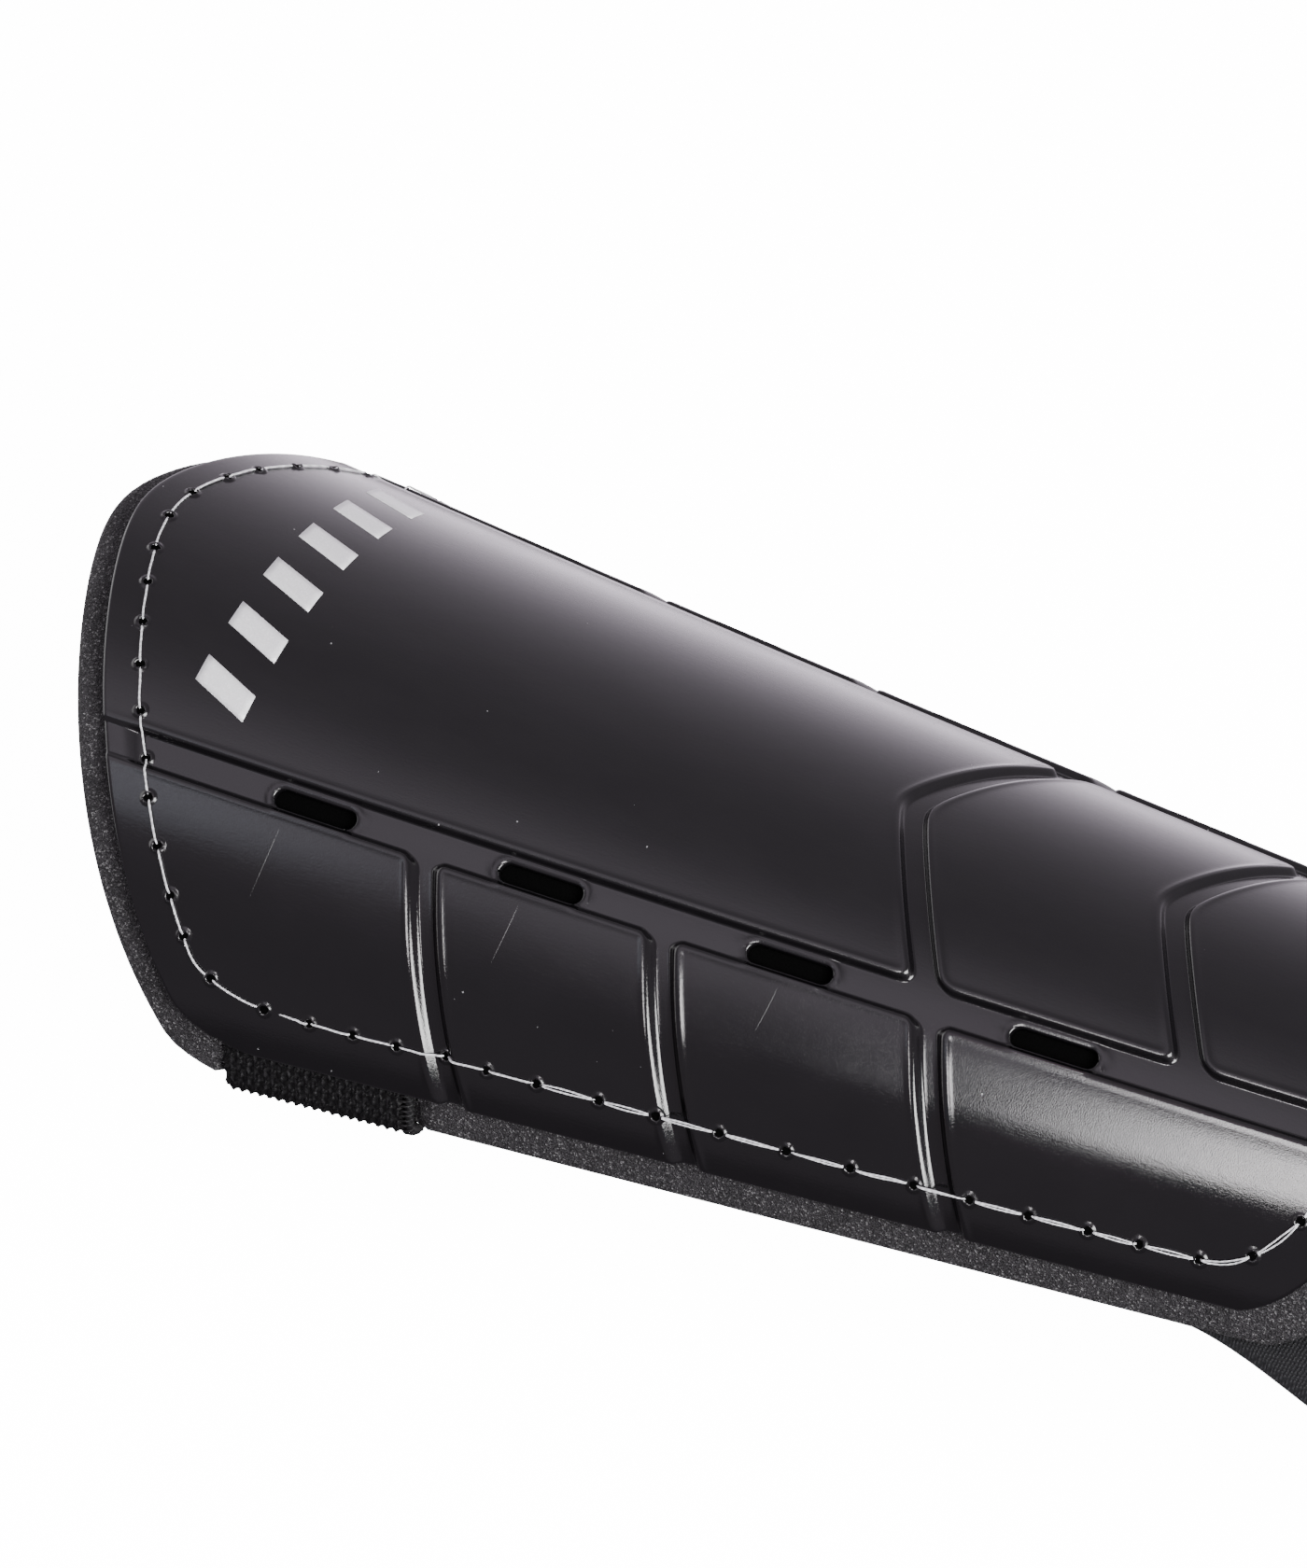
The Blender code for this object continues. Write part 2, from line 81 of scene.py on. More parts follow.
# Grooves of the shell and the vent slots in them.
GROOVE_DEPTH = 1.1
GROOVE_IN = 3.1
GROOVE_OUT = 2.6
WALL_RUN = 0.9
CROSS_RUN = 1.5
CROSS_HALF = 2.4
CROSS_SKEW = 0.35
CROSSINGS = (17.6, 54.6, 95.2, 134.5)
CHEVRON_SLOPE = 0.56
SLOT_X = (0.0, 35.6, 74.0, 113.8)
SLOT_SHIFT = 0.2
SLOT_LENGTH = 13.4
SLOT_WIDTH = 3.4
STITCH_INSET_END = 5.4
# Calf strap and the tab that its hooks fasten to.
STRAP_X = (-6.0, 22.2)
STRAP_END_Y = 56.0
STRAP_TOP = 11.0
HOOK_Y = (22.0, 50.0)
# Ankle sleeve and its pads.
MOUTH_X = 106.0
PIVOT_X = 212.0
SLEEVE_END_X = 258.0
BINDING = 6.0
FOLD = 2.7
HEEL_X = 210.0
HEEL_R = 19.0
PAD_X = 189.0
PAD_Y = 25.0
PAD_R = 18.5
PAD_RISE = 3.6
# The floor lies deep enough for the opened strap, which hangs below the guard.
FLOOR_Z = -53.0
CENTRE_X = (KNEE_X - FOAM_BORDER + SLEEVE_END_X) / 2

rng = np.random.default_rng(7)


# --- the skin ---


def smooth(t):
    t = np.clip(t, 0.0, 1.0)
    return t * t * (3 - 2 * t)


def lerp(a, b, t):
    return a + (b - a) * t


def along(x):
    return (x - SKIN_X[0]) / (SKIN_X[1] - SKIN_X[0])


def half_width(x):
    return lerp(HALF_WIDTH[0], HALF_WIDTH[1], along(x))


def rise(x):
    w = along(x)
    return lerp(RISE[0], RISE[1], w) - SADDLE * 4 * w * (1 - w)


def radius(x):
    return (half_width(x) + rise(x)) / 2


def groove_angle(x):
    return lerp(GROOVE_ANGLE[0], GROOVE_ANGLE[1], along(x))


def skin(x, phi, offset=0.0):
    """Points of the skin at stations x and angles phi from the ridge, moved out by offset."""
    x, phi, offset = np.broadcast_arrays(np.asarray(x, float), phi, offset)
    a = half_width(x)
    h = rise(x)
    ny = -h * np.sin(phi)
    nz = a * np.cos(phi)
    size = np.hypot(ny, nz)
    y = -a * np.sin(phi) + offset * ny / size
    z = EDGE_Z + h * (np.cos(phi) - math.cos(EDGE_ANGLE)) + offset * nz / size
    return np.stack([x, y, z], -1)


def edge_angle(x, drop=0.0):
    return np.arccos(math.cos(EDGE_ANGLE) - drop / rise(x))


def above_edge(x, height):
    return EDGE_ANGLE - height / radius(x)


def rounded_corner(girth, total, reach, run):
    t = np.clip((girth - (total - reach)) / reach, 0.0, 1.0)
    return run * (1 - np.sqrt(np.maximum(0.0, 1 - t * t)))


def knee_outline(s, grow=0.0):
    total = KNEE_GIRTH + grow
    girth = np.abs(s) * total
    back = 0.40 * (np.hypot(girth, 8) - 8) + 0.0017 * girth**2
    return KNEE_X - grow * (1 + 0.12 * np.abs(s)) + back + rounded_corner(girth, total, 6.5, 13.0)


def foot_outline(s, grow=0.0):
    total = FOOT_GIRTH + grow
    girth = np.abs(s) * total
    back = 0.0042 * girth**2 + rounded_corner(girth, total, 12.0, 7.0)
    return FOOT_X + grow * (1 + 0.15 * np.abs(s)) - back


# --- meshes ---


def world(points):
    points = np.asarray(points, float)
    return (points - (CENTRE_X, 0.0, 0.0)) / 1000.0


def add_mesh(name, points, faces, body=None, flat=False, attributes=None, materials=()):
    """Mesh object from points in part millimetres."""
    mesh = bpy.data.meshes.new(name)
    mesh.from_pydata(world(points).tolist(), [], [tuple(int(i) for i in f) for f in faces])
    mesh.polygons.foreach_set("use_smooth", [not flat] * len(mesh.polygons))
    for key, values in (attributes or {}).items():
        attribute = mesh.attributes.new(key, "FLOAT", "POINT")
        attribute.data.foreach_set("value", np.asarray(values, np.float32))
    for item in materials:
        mesh.materials.append(item)
    mesh.update()
    obj = bpy.data.objects.new(name, mesh)
    bpy.context.scene.collection.objects.link(obj)
    if body is not None:
        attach(obj, body)
    return obj


def grid_faces(rows, cols, start=0, flip=False, wrap=False):
    """Quads of a grid of points, row after row; wrap joins the last column to the first."""
    across = cols if wrap else cols - 1
    j, i = np.meshgrid(np.arange(rows - 1), np.arange(across), indexing="ij")
    n = (i + 1) % cols
    quads = np.stack([j * cols + i, j * cols + n, (j + 1) * cols + n, (j + 1) * cols + i], -1)
    quads = quads.reshape(-1, 4) + start
    return quads[:, ::-1] if flip else quads


def rim_faces(rows, cols, count):
    """Quads that close the border between a grid and its copy count points later."""
    rim = list(range(cols))
    rim += [j * cols + cols - 1 for j in range(1, rows)]
    rim += [(rows - 1) * cols + i for i in range(cols - 2, -1, -1)]
    rim += [j * cols for j in range(rows - 2, 0, -1)]
    ends = rim[1:] + rim[:1]
    return [(b, a, a + count, b + count) for a, b in zip(rim, ends)]


def sheet_arrays(outer, inner, flip=False):
    """Points and faces of a closed sheet between two grids of points (rows, cols, 3)."""
    rows, cols = outer.shape[:2]
    count = rows * cols
    faces = [*grid_faces(rows, cols), *grid_faces(rows, cols, count, flip=True)]
    faces += rim_faces(rows, cols, count)
    if flip:
        faces = [tuple(f)[::-1] for f in faces]
    return np.concatenate([outer.reshape(-1, 3), inner.reshape(-1, 3)]), faces


def sheet_mesh(name, outer, inner, **extra):
    return add_mesh(name, *sheet_arrays(outer, inner), **extra)


def border_edges(quads):
    """Edges that only one of the quads has, in that quad's direction."""
    edges = {(a, b) for quad in quads.tolist() for a, b in zip(quad, quad[1:] + quad[:1])}
    return sorted(edge for edge in edges if edge[::-1] not in edges)


def keep_used(points, faces):
    """Drops the points that no face uses, and says which ones stay."""
    used = np.unique(np.concatenate([np.asarray(f) for f in faces]))
    index = np.zeros(len(points), int)
    index[used] = np.arange(len(used))
    return points[used], [tuple(index[i] for i in f) for f in faces], used


class Gather:
    """Collects many small closed shapes into one mesh."""

    def __init__(self):
        self.points = []
        self.faces = []
        self.size = 0

    def add(self, points, faces):
        self.points.append(np.asarray(points, float).reshape(-1, 3))
        self.faces += [tuple(int(i) + self.size for i in f) for f in faces]
        self.size += len(self.points[-1])

    def tube(self, path, radii, sides, up=(0, 0, 1), flat=1.0):
        """Adds a closed tube along an open path, with rounded ends."""
        path = np.asarray(path, float)
        count = len(path)
        radii = np.broadcast_to(np.asarray(radii, float), (count,))
        ahead = np.gradient(path, axis=0)
        ahead /= np.linalg.norm(ahead, axis=1, keepdims=True)
        across = np.cross(ahead, np.broadcast_to(np.asarray(up, float), path.shape))
        across /= np.maximum(1e-9, np.linalg.norm(across, axis=1, keepdims=True))
        lift = np.cross(across, ahead)
        turn = np.linspace(0, 2 * np.pi, sides, endpoint=False)
        cos, sin = np.cos(turn)[None, :, None], np.sin(turn)[None, :, None]
        ring = across[:, None] * cos + flat * lift[:, None] * sin
        points = (path[:, None] + ring * radii[:, None, None]).reshape(-1, 3)
        tips = path[0] - ahead[0] * radii[0] * 0.6, path[-1] + ahead[-1] * radii[-1] * 0.6
        faces = [tuple(f) for f in grid_faces(count, sides, wrap=True)]
        tip = count * sides
        last = tip - sides
        for k in range(sides):
            n = (k + 1) % sides
            faces += [(n, k, tip), (last + k, last + n, tip + 1)]
        self.add(np.concatenate([points, tips]), faces)

    def make(self, name, body=None, **extra):
        return add_mesh(name, np.concatenate(self.points), self.faces, body, **extra)


# --- materials ---


class Nodes:
    """Short calls that build one material's node tree."""

    def __init__(self, name):
        self.material = bpy.data.materials.new(name)
        self.material.use_nodes = True
        self.tree = self.material.node_tree
        self.shader = self.tree.nodes["Principled BSDF"]
        self.where = self.tree.nodes.new("ShaderNodeTexCoord").outputs["Object"]

    def feed(self, socket, value):
        if isinstance(value, bpy.types.NodeSocket):
            self.tree.links.new(value, socket)
        elif isinstance(value, (tuple, list)) and socket.type == "RGBA":
            socket.default_value = (*value, 1.0)[:4]
        else:
            socket.default_value = value

    def set(self, **values):
        for key, value in values.items():
            self.feed(self.shader.inputs[key.replace("_", " ")], value)

    def attribute(self, name):
        node = self.tree.nodes.new("ShaderNodeAttribute")
        node.attribute_name = name
        return node.outputs["Fac"]

    def scaled(self, factors, turn=(0, 0, 0)):
        node = self.tree.nodes.new("ShaderNodeMapping")
        self.tree.links.new(self.where, node.inputs["Vector"])
        node.inputs["Scale"].default_value = factors
        node.inputs["Rotation"].default_value = turn
        return node.outputs["Vector"]

    def noise(self, scale, detail=3.0, rough=0.5, vector=None):
        node = self.tree.nodes.new("ShaderNodeTexNoise")
        self.tree.links.new(vector or self.where, node.inputs["Vector"])
        node.inputs["Scale"].default_value = scale
        node.inputs["Detail"].default_value = detail
        node.inputs["Roughness"].default_value = rough
        return node.outputs["Fac"]

    def cells(self, scale, output="Distance"):
        node = self.tree.nodes.new("ShaderNodeTexVoronoi")
        self.tree.links.new(self.where, node.inputs["Vector"])
        node.inputs["Scale"].default_value = scale
        return node.outputs[output]

    def wave(self, scale, axis, vector, distortion):
        node = self.tree.nodes.new("ShaderNodeTexWave")
        node.bands_direction = axis
        self.tree.links.new(vector or self.where, node.inputs["Vector"])
        node.inputs["Scale"].default_value = scale
        node.inputs["Distortion"].default_value = distortion
        node.inputs["Detail Scale"].default_value = 2.0
        return node.outputs["Fac"]

    def math(self, operation, a, b=0.0):
        node = self.tree.nodes.new("ShaderNodeMath")
        node.operation = operation
        self.feed(node.inputs[0], a)
        self.feed(node.inputs[1], b)
        return node.outputs[0]

    def ramp(self, value, low, high, to_low=0.0, to_high=1.0):
        node = self.tree.nodes.new("ShaderNodeMapRange")
        node.interpolation_type = "SMOOTHSTEP"
        self.feed(node.inputs["Value"], value)
        node.inputs["From Min"].default_value = low
        node.inputs["From Max"].default_value = high
        node.inputs["To Min"].default_value = to_low
        node.inputs["To Max"].default_value = to_high
        return node.outputs["Result"]

    def mix(self, factor, a, b):
        node = self.tree.nodes.new("ShaderNodeMix")
        node.data_type = "RGBA"
        self.feed(node.inputs[0], factor)
        self.feed(node.inputs[6], a)
        self.feed(node.inputs[7], b)
        return node.outputs[2]

    def bump(self, height, strength, distance, below=None):
        node = self.tree.nodes.new("ShaderNodeBump")
        node.inputs["Strength"].default_value = strength
        node.inputs["Distance"].default_value = distance
        self.tree.links.new(height, node.inputs["Height"])
        if below is not None:
            self.tree.links.new(below, node.inputs["Normal"])
        return node.outputs["Normal"]


def shell_material():
    n = Nodes("shell_gloss_black")
    side = n.attribute("side")
    grain = n.noise(5200, 2.0, 0.6)
    smear = n.noise(60, 4.0, 0.6, n.scaled((1.0, 2.4, 1.0)))
    brushed = n.noise(420, 3.0, 0.65, n.scaled((1.0, 7.0, 7.0), (0.5, 0.2, 0.5)))
    dust = n.cells(340)
    chance = n.noise(95, 1.0)
    speck = n.math("MULTIPLY", n.ramp(dust, 0.035, 0.055, 1.0, 0.0), n.ramp(chance, 0.56, 0.6))
    base = n.mix(smear, (0.0022, 0.0020, 0.0024), (0.0040, 0.0036, 0.0042))
    base = n.mix(n.math("MULTIPLY", speck, 0.5), base, (0.35, 0.35, 0.36))
    rough = n.ramp(side, 0.0, 1.0, 0.185, 0.075)
    rough = n.math("ADD", rough, n.ramp(smear, 0.3, 0.7, -0.02, 0.035))
    streaks = n.math("MULTIPLY", n.ramp(brushed, 0.5, 0.8), n.math("MULTIPLY", side, 0.05))
    rough = n.math("ADD", rough, streaks)
    rough = n.math("ADD", rough, n.math("MULTIPLY", speck, 0.4))
    fine = n.bump(grain, 0.10, 0.00012)
    fine = n.bump(brushed, 0.05, 0.0002, fine)
    n.set(Base_Color=base, Roughness=rough, Normal=fine, IOR=1.52, Specular_IOR_Level=0.5)
    return n.material


def print_material():
    n = Nodes("print_silver_white")
    fleck = n.cells(5200, "Color")
    grain = n.noise(3800, 2.0, 0.6)
    base = n.mix(grain, (0.56, 0.56, 0.57), (0.80, 0.80, 0.81))
    base = n.mix(n.math("MULTIPLY", n.ramp(fleck, 0.72, 0.9), 0.4), base, (0.95, 0.95, 0.97))
    n.set(Base_Color=base, Roughness=n.ramp(grain, 0.3, 0.7, 0.34, 0.55), Metallic=0.15)
    n.set(Normal=n.bump(grain, 0.25, 0.0001))
    return n.material


def foam_material():
    n = Nodes("foam_charcoal_cells")
    pores = n.cells(3400)
    colour = n.cells(3400, "Color")
    grain = n.noise(5200, 2.0, 0.7)
    patch = n.noise(160, 3.0)
    base = n.mix(n.ramp(pores, 0.1, 0.6), (0.040, 0.037, 0.041), (0.007, 0.0065, 0.0073))
    base = n.mix(n.ramp(patch, 0.3, 0.7, 0.0, 0.35), base, (0.028, 0.026, 0.029))
    base = n.mix(n.ramp(n.math("MULTIPLY", grain, colour), 0.36, 0.5, 0.0, 0.6), base, (0.24, 0.235, 0.24))
    rough = n.ramp(grain, 0.35, 0.65, 0.55, 0.95)
    low = n.bump(pores, 0.9, 0.00035)
    n.set(Base_Color=base, Roughness=rough, Normal=n.bump(grain, 0.6, 0.0002, low))
    n.set(Specular_IOR_Level=0.3)
    return n.material


def fabric_material(name, dark, light, pitch, lean=0.5, fuzz=0.03, rough=0.85):
    """Knit or woven yarn: two crossed rows of loops at a pitch in millimetres."""
    n = Nodes(name)
    scale = 1000.0 / pitch / 6.2832
    rows = n.wave(scale * 3.1416, "X", n.scaled((1, 1, 1), (0, 0, lean)), 0.6)
    lines = n.wave(scale * 3.1416, "Y", n.scaled((1, 1, 1), (0, 0, lean)), 0.6)
    loops = n.math("MULTIPLY", rows, lines)
    hairs = n.noise(4200, 3.0, 0.7, n.scaled((1.0, 0.35, 1.0), (0, 0, 0.8)))
    shade = n.math("ADD", n.math("MULTIPLY", loops, 0.7), n.math("MULTIPLY", hairs, 0.3))
    n.set(Base_Color=n.mix(shade, dark, light), Roughness=n.ramp(hairs, 0.3, 0.7, rough - 0.12, rough + 0.1))
    low = n.bump(loops, 0.8, 0.0003)
    n.set(Normal=n.bump(hairs, 0.5, 0.00012, low), Sheen_Weight=fuzz, Sheen_Roughness=0.45)
    n.set(Specular_IOR_Level=0.2)
    return n.material


def thread_material():
    n = Nodes("thread_glassy")
    twist = n.wave(520, "X", n.scaled((1, 1, 1), (0.2, 0.1, 0.7)), 1.5)
    cloud = n.noise(900, 2.0)
    base = n.mix(n.math("MULTIPLY", twist, cloud), (0.42, 0.42, 0.43), (0.92, 0.92, 0.95))
    n.set(Base_Color=base, Roughness=n.ramp(cloud, 0.3, 0.7, 0.16, 0.34), Normal=n.bump(twist, 0.3, 0.0001))
    n.set(Coat_Weight=0.6, Coat_Roughness=0.12, Transmission_Weight=0.12, IOR=1.5)
    return n.material


def yarn_material(name, dark, light, rough):
    """Twisted sewing or overlock yarn."""
    n = Nodes(name)
    twist = n.wave(420, "DIAGONAL", None, 1.0)
    hairs = n.noise(5200, 3.0, 0.7)
    shade = n.math("ADD", n.math("MULTIPLY", twist, 0.6), n.math("MULTIPLY", hairs, 0.4))
    n.set(Base_Color=n.mix(shade, dark, light), Roughness=n.ramp(hairs, 0.3, 0.7, rough - 0.1, rough + 0.1))
    n.set(Normal=n.bump(twist, 0.5, 0.00015), Specular_IOR_Level=0.25)
    return n.material


def painted_shade_material():
    # Near-black, almost matt: painted shade for the sheets behind the vent slots and the stars in the needle
    # holes.
    n = Nodes("painted_shade_black")
    grain = n.noise(4000, 2.0, 0.6)
    n.set(Base_Color=n.mix(grain, (0.0002, 0.0002, 0.0002), (0.0012, 0.0012, 0.0012)), Roughness=0.95)
    n.set(Normal=n.bump(grain, 0.3, 0.0001), Specular_IOR_Level=0.03)
    return n.material


def floor_material():
    n = Nodes("floor_paper")
    grain = n.noise(90, 3.0)
    n.set(Base_Color=n.mix(grain, (0.88, 0.88, 0.88), (0.92, 0.92, 0.92)), Roughness=0.9)
    n.set(Specular_IOR_Level=0.1, Emission_Color=(1.0, 1.0, 1.0), Emission_Strength=14.0)
    return n.material


# --- shell ---

WALL_STEPS = (0.0, 0.12, 0.24, 0.36, 0.48, 0.6, 0.72, 0.84, 0.96)
CROSS_STEPS = (0.0, 0.17, 0.34, 0.51, 0.68, 0.85, 1.02, 1.19, 1.36, 1.55)
EASE_STEPS = (2.0, 1.4, 1.0, 0.7, 0.48, 0.3, 0.15)
END_STEPS = (0.0, 0.05, 0.14, 0.28, 0.5, 0.85, 1.4)
EDGE_STEPS = (5.6, 4.7, 3.9, 3.2, 2.55, 2.0, 1.5, 1.05, 0.7, 0.42, 0.22, 0.09, 0.0)
# How far in and down each ring of a vent slot's rounded lip lies.
SLOT_LIP = ((0.08, 0.03), (0.18, 0.12), (0.25, 0.30), (0.28, 0.6), (0.28, 1.0))


def row_specs():
    """Rows of one side from the ridge to the edge, as (zone, value) with value in mm or as a share."""
    specs = [("ridge", f) for f in np.linspace(0, 1, 26)]
    specs += [("inner", -d) for d in EASE_STEPS]
    specs += [("groove", -GROOVE_IN + d) for d in WALL_STEPS]
    low = -GROOVE_IN + WALL_STEPS[-1]
    high = GROOVE_OUT - WALL_STEPS[-1]
    specs += [("groove", g) for g in np.linspace(low, high, 13)[1:-1]]
    specs += [("groove", GROOVE_OUT - d) for d in WALL_STEPS[::-1]]
    specs += [("outer", d) for d in EASE_STEPS[::-1]]
    specs += [("side", f) for f in np.linspace(0, 1, 22)[1:]]
    specs += [("edge", d) for d in EDGE_STEPS]
    return specs


def row_angle(spec, x):
    zone, value = spec
    r = radius(x)
    inner = groove_angle(x) - GROOVE_IN / r
    outer = groove_angle(x) + GROOVE_OUT / r
    if zone == "ridge":
        return (inner - 2.6 / r) * value
    if zone == "inner":
        return inner + value / r
    if zone == "groove":
        return groove_angle(x) + value / r
    if zone == "outer":
        return outer + value / r
    if zone == "side":
        return lerp(outer + EASE_STEPS[0] / r, EDGE_ANGLE - 6.5 / r, value)
    return EDGE_ANGLE - value / r


def group_middles(spec, start, end):
    """Stations of the four groove crossings on a row."""
    zone, value = spec
    inward = zone in ("ridge", "inner") or (zone == "groove" and value < 0)
    middles = []
    before = start
    for k, centre in enumerate(CROSSINGS):
        r = radius(centre)
        groove = groove_angle(centre) * r
        girth = row_angle(spec, centre) * r
        if inward:
            bend = CHEVRON_SLOPE if k >= 2 else 0.0
            middle = centre - bend * (groove - math.hypot(girth, 2.0))
        else:
            middle = centre + CROSS_SKEW * (girth - groove)
        if k == 3 and not inward:
            share = float(smooth((girth - groove) / 20.0))
            middle = lerp(centre, lerp(before, end, 0.5), share)
        before = middle
        middles.append(middle)
    return middles


def group_offsets():
    wall = [CROSS_HALF - d for d in CROSS_STEPS]
    ease = [CROSS_HALF + d for d in EASE_STEPS]
    half = ease + wall
    return np.array([-d for d in half] + [-0.4, 0.0, 0.4] + half[::-1])


def segment_shares(low, high, slot):
    """Shares between two groove groups, closer together round the vent slot."""
    stations = [low]
    x = low
    while x < high:
        near = abs(x - slot) < SLOT_LENGTH / 2 + 1.2
        x += 0.36 if near else 1.15
        stations.append(x)
    stations = np.array(stations)
    return (stations - low) / (stations[-1] - low)


def shell_stations(spec):
    """Stations of one row, and the distance of each to the four groove crossings."""
    knee = float(row_angle(spec, -30.0)) / EDGE_ANGLE
    foot = float(row_angle(spec, 150.0)) / EDGE_ANGLE
    start = float(knee_outline(knee))
    end = float(foot_outline(foot))
    middles = group_middles(spec, start, end)
    offsets = group_offsets()
    reach = offsets[-1]
    stations = list(start + np.array(END_STEPS))
    for k, middle in enumerate(middles):
        low = stations[-1]
        high = middle - reach
        nominal_low = (KNEE_X + 18.0) if k == 0 else CROSSINGS[k - 1] + reach
        nominal_high = CROSSINGS[k] - reach
        shares = segment_shares(nominal_low, nominal_high, SLOT_X[k])
        stations += list(low + shares[1:-1] * (high - low))
        stations += list(middle + offsets)
    low = stations[-1]
    high = end - END_STEPS[-1]
    stations += list(np.linspace(low, high, 26)[1:-1])
    stations += list(end - np.array(END_STEPS[::-1]))
    stations = np.array(stations)
    return stations, [stations - m for m in middles]


def corner_distance(u, v, r):
    """Distance inside a rounded corner between two edges at distances u and v."""
    return r - np.hypot(np.maximum(r - u, 0), np.maximum(r - v, 0))


def slot_outward(x, g):
    """Nearest station on a vent slot's middle line, and the unit direction away from it."""
    slots = np.array(SLOT_X)
    middle = slots[np.argmin(np.abs(slots - x[:, None]), axis=1)]
    straight = (SLOT_LENGTH - SLOT_WIDTH) / 2
    centre = middle + np.clip(x - middle, -straight, straight)
    dx, dg = x - centre, g - SLOT_SHIFT
    size = np.hypot(dx, dg)
    return centre, dx / size, dg / size


def slot_distance(x, g, k):
    """Signed distance from the outline of vent slot k, negative inside it."""
    run = np.abs(x - SLOT_X[k]) - (SLOT_LENGTH - SLOT_WIDTH) / 2
    return np.hypot(np.maximum(run, 0), g - SLOT_SHIFT) - SLOT_WIDTH / 2


def shell_height(x, phi, crossings, knee_gap, foot_gap):
    """Height over the skin of the panels, grooves and raised rims, and the side-panel mask."""
    r = radius(x)
    g = (np.abs(phi) - groove_angle(x)) * r
    lean = math.cos(math.atan(CHEVRON_SLOPE))
    side_v = np.minimum.reduce([np.abs(d) for d in crossings[:3]]) - CROSS_HALF
    top_v = (np.minimum(np.abs(crossings[2]), np.abs(crossings[3])) - CROSS_HALF) * lean
    top = corner_distance(-GROOVE_IN - g, top_v, 1.8)
    side_v = np.where(side_v < 0, side_v * WALL_RUN / CROSS_RUN, side_v)
    side = corner_distance(g - GROOVE_OUT, side_v, 1.2)
    inside = np.where(g < -0.2, top, side)
    panel = smooth((inside + WALL_RUN) / WALL_RUN)
    bead = 0.10 * np.exp(-(((inside - 0.45) / 0.4) ** 2))
    fade = lerp(0.4, 1.0, smooth((knee_gap - 3.2) / 3.0)) * lerp(0.4, 1.0, smooth((foot_gap - 3.2) / 3.0))
    height = -GROOVE_DEPTH * (1 - panel) * fade + bead * fade
    for k in range(4):
        d = slot_distance(x, g, k)
        height = height + 0.16 * np.exp(-(((d - 0.5) / 0.38) ** 2)) * (d > -0.6)
    crown = smooth(side / 6.0) * (g > 0)
    height = height + 0.22 * crown * smooth((EDGE_ANGLE - np.abs(phi)) * r / 8.0)
    return height, smooth((g + 3.4) / 1.2)


def round_edge(gap, r):
    t = np.clip(gap / r, 0.0, 1.0)
    return -r + r * np.sqrt(1 - (1 - t) ** 2)


def build_shell(slot_material):
    specs = row_specs()
    halves = [shell_stations(spec) for spec in specs]
    order = [(i, -1) for i in range(len(specs) - 1, 0, -1)] + [(i, 1) for i in range(len(specs))]
    x = np.array([halves[i][0] for i, _ in order])
    crossings = [np.array([halves[i][1][k] for i, _ in order]) for k in range(4)]
    phi = np.array([side * row_angle(specs[i], halves[i][0]) for i, side in order])
    rows, cols = x.shape
    count = rows * cols
    r = radius(x)
    g = (np.abs(phi) - groove_angle(x)) * r

    quads = grid_faces(rows, cols)
    inside = np.minimum.reduce([slot_distance(x, g, k) for k in range(4)]).reshape(-1) < 0
    gone = inside[quads].any(axis=1)
    kept = quads[~gone]
    edges = border_edges(quads[gone])
    rim = np.unique(edges)
    flat_x, flat_g, flat_phi = x.reshape(-1), g.reshape(-1), phi.reshape(-1)
    centre, away_x, away_g = slot_outward(flat_x[rim], flat_g[rim])
    flat_x[rim] = centre + away_x * SLOT_WIDTH / 2
    flat_g[rim] = SLOT_SHIFT + away_g * SLOT_WIDTH / 2
    angle = flat_g[rim] / radius(flat_x[rim]) + groove_angle(flat_x[rim])
    flat_phi[rim] = np.where(flat_phi[rim] < 0, -angle, angle)

    knee_gap = x - x[:, :1]
    foot_gap = x[:, -1:] - x
    side_gap = (EDGE_ANGLE - np.abs(phi)) * r
    height, mask = shell_height(x, phi, crossings, knee_gap, foot_gap)
    edge_round = np.minimum.reduce([round_edge(gap, 0.6) for gap in (knee_gap, foot_gap, side_gap)])
    outer = skin(x, phi, height + edge_round).reshape(-1, 3)
    inner = skin(x, phi, -SHELL_WALL).reshape(-1, 3)

    points = [outer, inner]
    masks = [mask.reshape(-1), mask.reshape(-1)]
    faces = [*kept, *(kept[:, ::-1] + count), *rim_faces(rows, cols, count)]
    total = 2 * count
    place = np.zeros(count, int)
    place[rim] = np.arange(len(rim))
    rim_height = height.reshape(-1)[rim]
    before = rim
    for inset, sink in SLOT_LIP:
        lip_x = flat_x[rim] - away_x * inset
        lip_phi = (flat_g[rim] - away_g * inset) / radius(lip_x) + groove_angle(lip_x)
        level = rim_height - sink if sink < 1.0 else -SHELL_WALL
        points.append(skin(lip_x, np.sign(flat_phi[rim]) * lip_phi, level))
        masks.append(np.ones(len(rim)))
        ring = total + np.arange(len(rim))
        total += len(rim)
        faces += [(before[place[a]], before[place[b]], ring[place[b]], ring[place[a]]) for a, b in edges]
        before = ring
    faces += [(before[place[a]], before[place[b]], b + count, a + count) for a, b in edges]
    points, faces, used = keep_used(np.concatenate(points), faces)
    attributes = {"side": np.concatenate(masks)[used]}
    extra = {"attributes": attributes, "materials": [slot_material]}
    shell = add_mesh("shell_moulding", points, faces, "guard", **extra)
    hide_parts("hard_shell")


